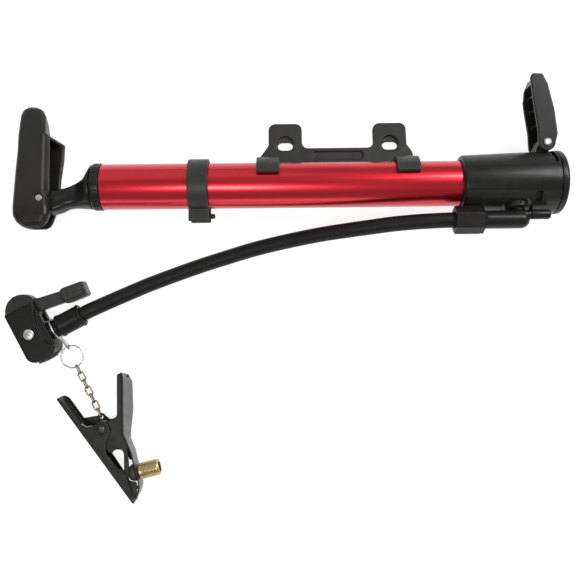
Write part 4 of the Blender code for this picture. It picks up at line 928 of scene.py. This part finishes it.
def make_clip_right():
    """Bent channel half. The faces of the web between its plates that point along +X take a paler metal: a
    painted reflection.
    """
    jaw = [(14.6, -8), (17.4, -15), (18.7, -21), (20.2, -27), (21.5, -31), (21.8, -36), (20.6, -40),
           (19.7, -41.8)]
    near = [(11.6, 34.4), (12.4, 32), (12.4, 10), (12.5, -3)] + jaw
    far = [(13.4, 31.6), (15.8, 27.4), (16.2, 10), (14.6, -3)] + jaw
    half = bent_strip(near, far, 1.0, 0.3, 12.3)
    near_plate = [(12.8, 34.2), (12.9, -3), (14.4, -7), (15.8, -13), (16.4, -20), (16.4, -31), (21.0, -32),
                  (21.3, -36), (20.2, -40), (19.4, -41.4), (17.4, -38.5), (15.0, -34.5), (12.9, -30.5),
                  (13.4, -24), (13.4, -14.5), (12.2, -12.4), (8.0, -12.2), (6.4, -14.4), (4.4, -14.2), (0, -8.5),
                  (-3.6, -4.2), (-4.6, 0), (-3.6, 4.2), (0, 5.2), (5, 5.0), (9.4, 8), (9.6, 33.4)]
    unite(half, prism(fillet(near_plate, 1.0), 11.2, 12.2))
    far_plate = [(15.3, 32.4), (15.3, 9), (13.9, -3), (15.0, -8), (17.8, -15), (18.9, -20.4), (15.0, -20.4),
                 (13.6, -15), (10, -9), (3, -5.4), (-3.6, -4.2), (-4.6, 0), (-3.6, 4.2), (0, 5.2), (5, 5.0),
                 (9.4, 8), (12.4, 32.4)]
    unite(half, prism(fillet(far_plate, 1.0), 3.2, 4.2))
    to_nozzle = CLIP.inverted() @ NOZZLE
    combine(half, prism(arc(0, 0, RIVET_HOLE_R, 0, 355, 48), -2, 18),
            moved(lathe([(-4, 0), (-4, 3.1), (4, 3.1), (4, 0)], sides=48), to_nozzle))
    soften(half, 0.24, 3, 50000)
    finish_piece(half, "clip_short_jaw", CLIP, "clip_jaw", CLIP_BLACK, "nickel", "clip_right_half")
    # Faces pointing along +X get the paler metal: painted reflection
    half.data.materials.append(CLIP_PAINTED_SHEEN)
    for face in half.data.polygons:
        face.material_index = 1 if face.normal.x > 0.8 and face.normal.z < 0.6 else 0


def make_nozzle():
    """Brass nozzle with a rolled thread, and the rubber seat behind it."""
    thread = []
    for k in range(9):
        x = 3.0 + 0.95 * k
        thread += [(x, 4.84), (x + 0.3, 5.0), (x + 0.5, 5.0), (x + 0.8, 4.84)]
    profile = [(-2.6, 1.7), (-2.6, 2.8), (1.2, 2.8), (1.2, 5.0), (2.4, 5.0)] + thread
    profile += [(12.3, 4.9), (13.2, 4.3), (13.2, 3.2), (5.0, 3.2), (5.0, 1.7)]
    smooth_piece(lathe(profile, sides=88), "nozzle", NOZZLE, "clip_jaw", BRASS, "brass", "brass_nozzle")
    seat = lathe([(-5.6, 1.9), (-5.6, 4.0), (-3.2, 5.2), (-1.3, 5.2), (-1.3, 3.2), (-3.0, 3.2), (-3.0, 1.9)],
                 sides=72, radius=0.4)
    smooth_piece(seat, "nozzle_rubber", NOZZLE, "clip_jaw", SEAT_RUBBER, "brown_rubber", "nozzle_seat")


def make_clip_hardware():
    rivet = lathe([(0.5, 2.3), (0.5, 3.8), (1.3, 3.8), (1.3, 2.9), (14.1, 2.9), (14.1, 3.8), (14.9, 3.8),
                   (14.9, 2.3)], "Z", sides=72, radius=0.35)
    smooth_piece(rivet, "clip_eyelet", CLIP, "clip", CLIP_BLACK, "steel", "clip_rivet")
    turns, low, high, r = -3.5, 5.1, 10.2, 4.1
    coils = [(r * cos(tau * turns * s), r * sin(tau * turns * s), low + (high - low) * s)
             for s in (i / 126 for i in range(127))]
    lead = [(9.4, 7.6, 5.0), (6.6, 4.8, 5.0), (4.6, 2.3, 5.05)]
    tail = [(-4.5, 1.3, 10.3), (-6.4, 1.7, 10.4), (-9.6, 1.1, 10.4), (-12.4, 3.2, 10.4)]
    smooth_piece(sweep(lead + coils + tail, 0.48, 12), "clip_coil", CLIP, "clip", SPRING_STEEL, "steel",
                 "clip_spring")


# ---- stage
def floor():
    g = Graph("white_table", Roughness=0.6, Specular_IOR_Level=0.2)
    g.shader.inputs["Base Color"].default_value = (0.3, 0.3, 0.3, 1.0)
    g.shader.inputs["Emission Color"].default_value = (1.0, 1.0, 1.0, 1.0)
    g.shader.inputs["Emission Strength"].default_value = 0.85
    bm = bmesh.new()
    bmesh.ops.create_grid(bm, x_segments=1, y_segments=1, size=4.0)
    table = to_object("table_top", bm)
    table.location.z = -0.0002
    table.data.materials.append(g.use())


def softbox(name, at, aim, width, height, power):
    light = bpy.data.lights.new(name, "AREA")
    light.shape = "RECTANGLE"
    light.size, light.size_y = width, height
    light.energy = power
    box = link(name, light)
    box.location = at
    box.rotation_euler = (Vector(aim) - Vector(at)).to_track_quat("-Z", "Y").to_euler()
    box.visible_camera = False


def light_scene():
    """A lamp overhead, panels behind, low in front and behind on the right, and a dim surround."""
    tube = PUMP.to_translation() * MM
    softbox("overhead", tube + Vector((-0.18, -0.32, 1.1)), tube, 0.32, 0.26, 3.4)
    softbox("back_panel", tube + Vector((-0.75, 1.3, 0.95)), tube, 1.8, 1.5, 4.6)
    softbox("front_horizon", tube + Vector((-0.1, -1.6, 0.03)), tube, 2.6, 0.5, 6.6)
    softbox("back_right", tube + Vector((0.88, 0.66, 1.1)), tube, 0.65, 0.65, 18.0)
    world = bpy.data.worlds.new("studio")
    bpy.context.scene.world = world
    world.use_nodes = True
    tree = world.node_tree
    background = tree.nodes["Background"]
    rays = tree.nodes.new("ShaderNodeLightPath")
    level = tree.nodes.new("ShaderNodeMapRange")
    level.inputs["To Min"].default_value = 0.4
    level.inputs["To Max"].default_value = 1.0
    tree.links.new(rays.outputs["Is Camera Ray"], level.inputs["Value"])
    tree.links.new(level.outputs["Result"], background.inputs["Strength"])
    background.inputs["Color"].default_value = (1.0, 1.0, 1.0, 1.0)


def camera():
    data = bpy.data.cameras.new("camera")
    data.lens, data.sensor_width = 45.9, 36.0
    data.clip_start = 0.01
    shot = link("camera", data)
    shot.location = (-0.00155, -0.07697, 0.4564)
    shot.rotation_euler = (0, 0, radians(-0.6))
    bpy.context.scene.camera = shot
    bpy.context.scene.view_settings.view_transform = "Standard"


# ---- the whole scene
camera()
hose, hose_line, hose_length, hose_exit = make_hose()
make_barrel()
make_gland()
make_housing()
make_base_parts()
make_bracket()
make_hose_clip()
make_rod()
make_stem()
make_handle()
make_pedal()
make_fitting()
make_nut()
make_head()
make_lever()
make_neck_loop()
make_tether()
make_clip_left()
make_clip_right()
make_nozzle()
make_clip_hardware()
on_hose = ["hose_sleeve", "valve_head_shell", "valve_plunger", "mouth_grommet", "mouth_ring", "thumb_lever_pin",
           "valve_head_screw", "thumb_lever", "neck_wire", "key_ring", "clip_long_jaw", "clip_short_jaw",
           "clip_eyelet", "clip_coil", "nozzle", "nozzle_rubber"]
on_hose += [f"chain_wire_{i + 1}" for i in range(CHAIN_LINKS)]
floor()
light_scene()
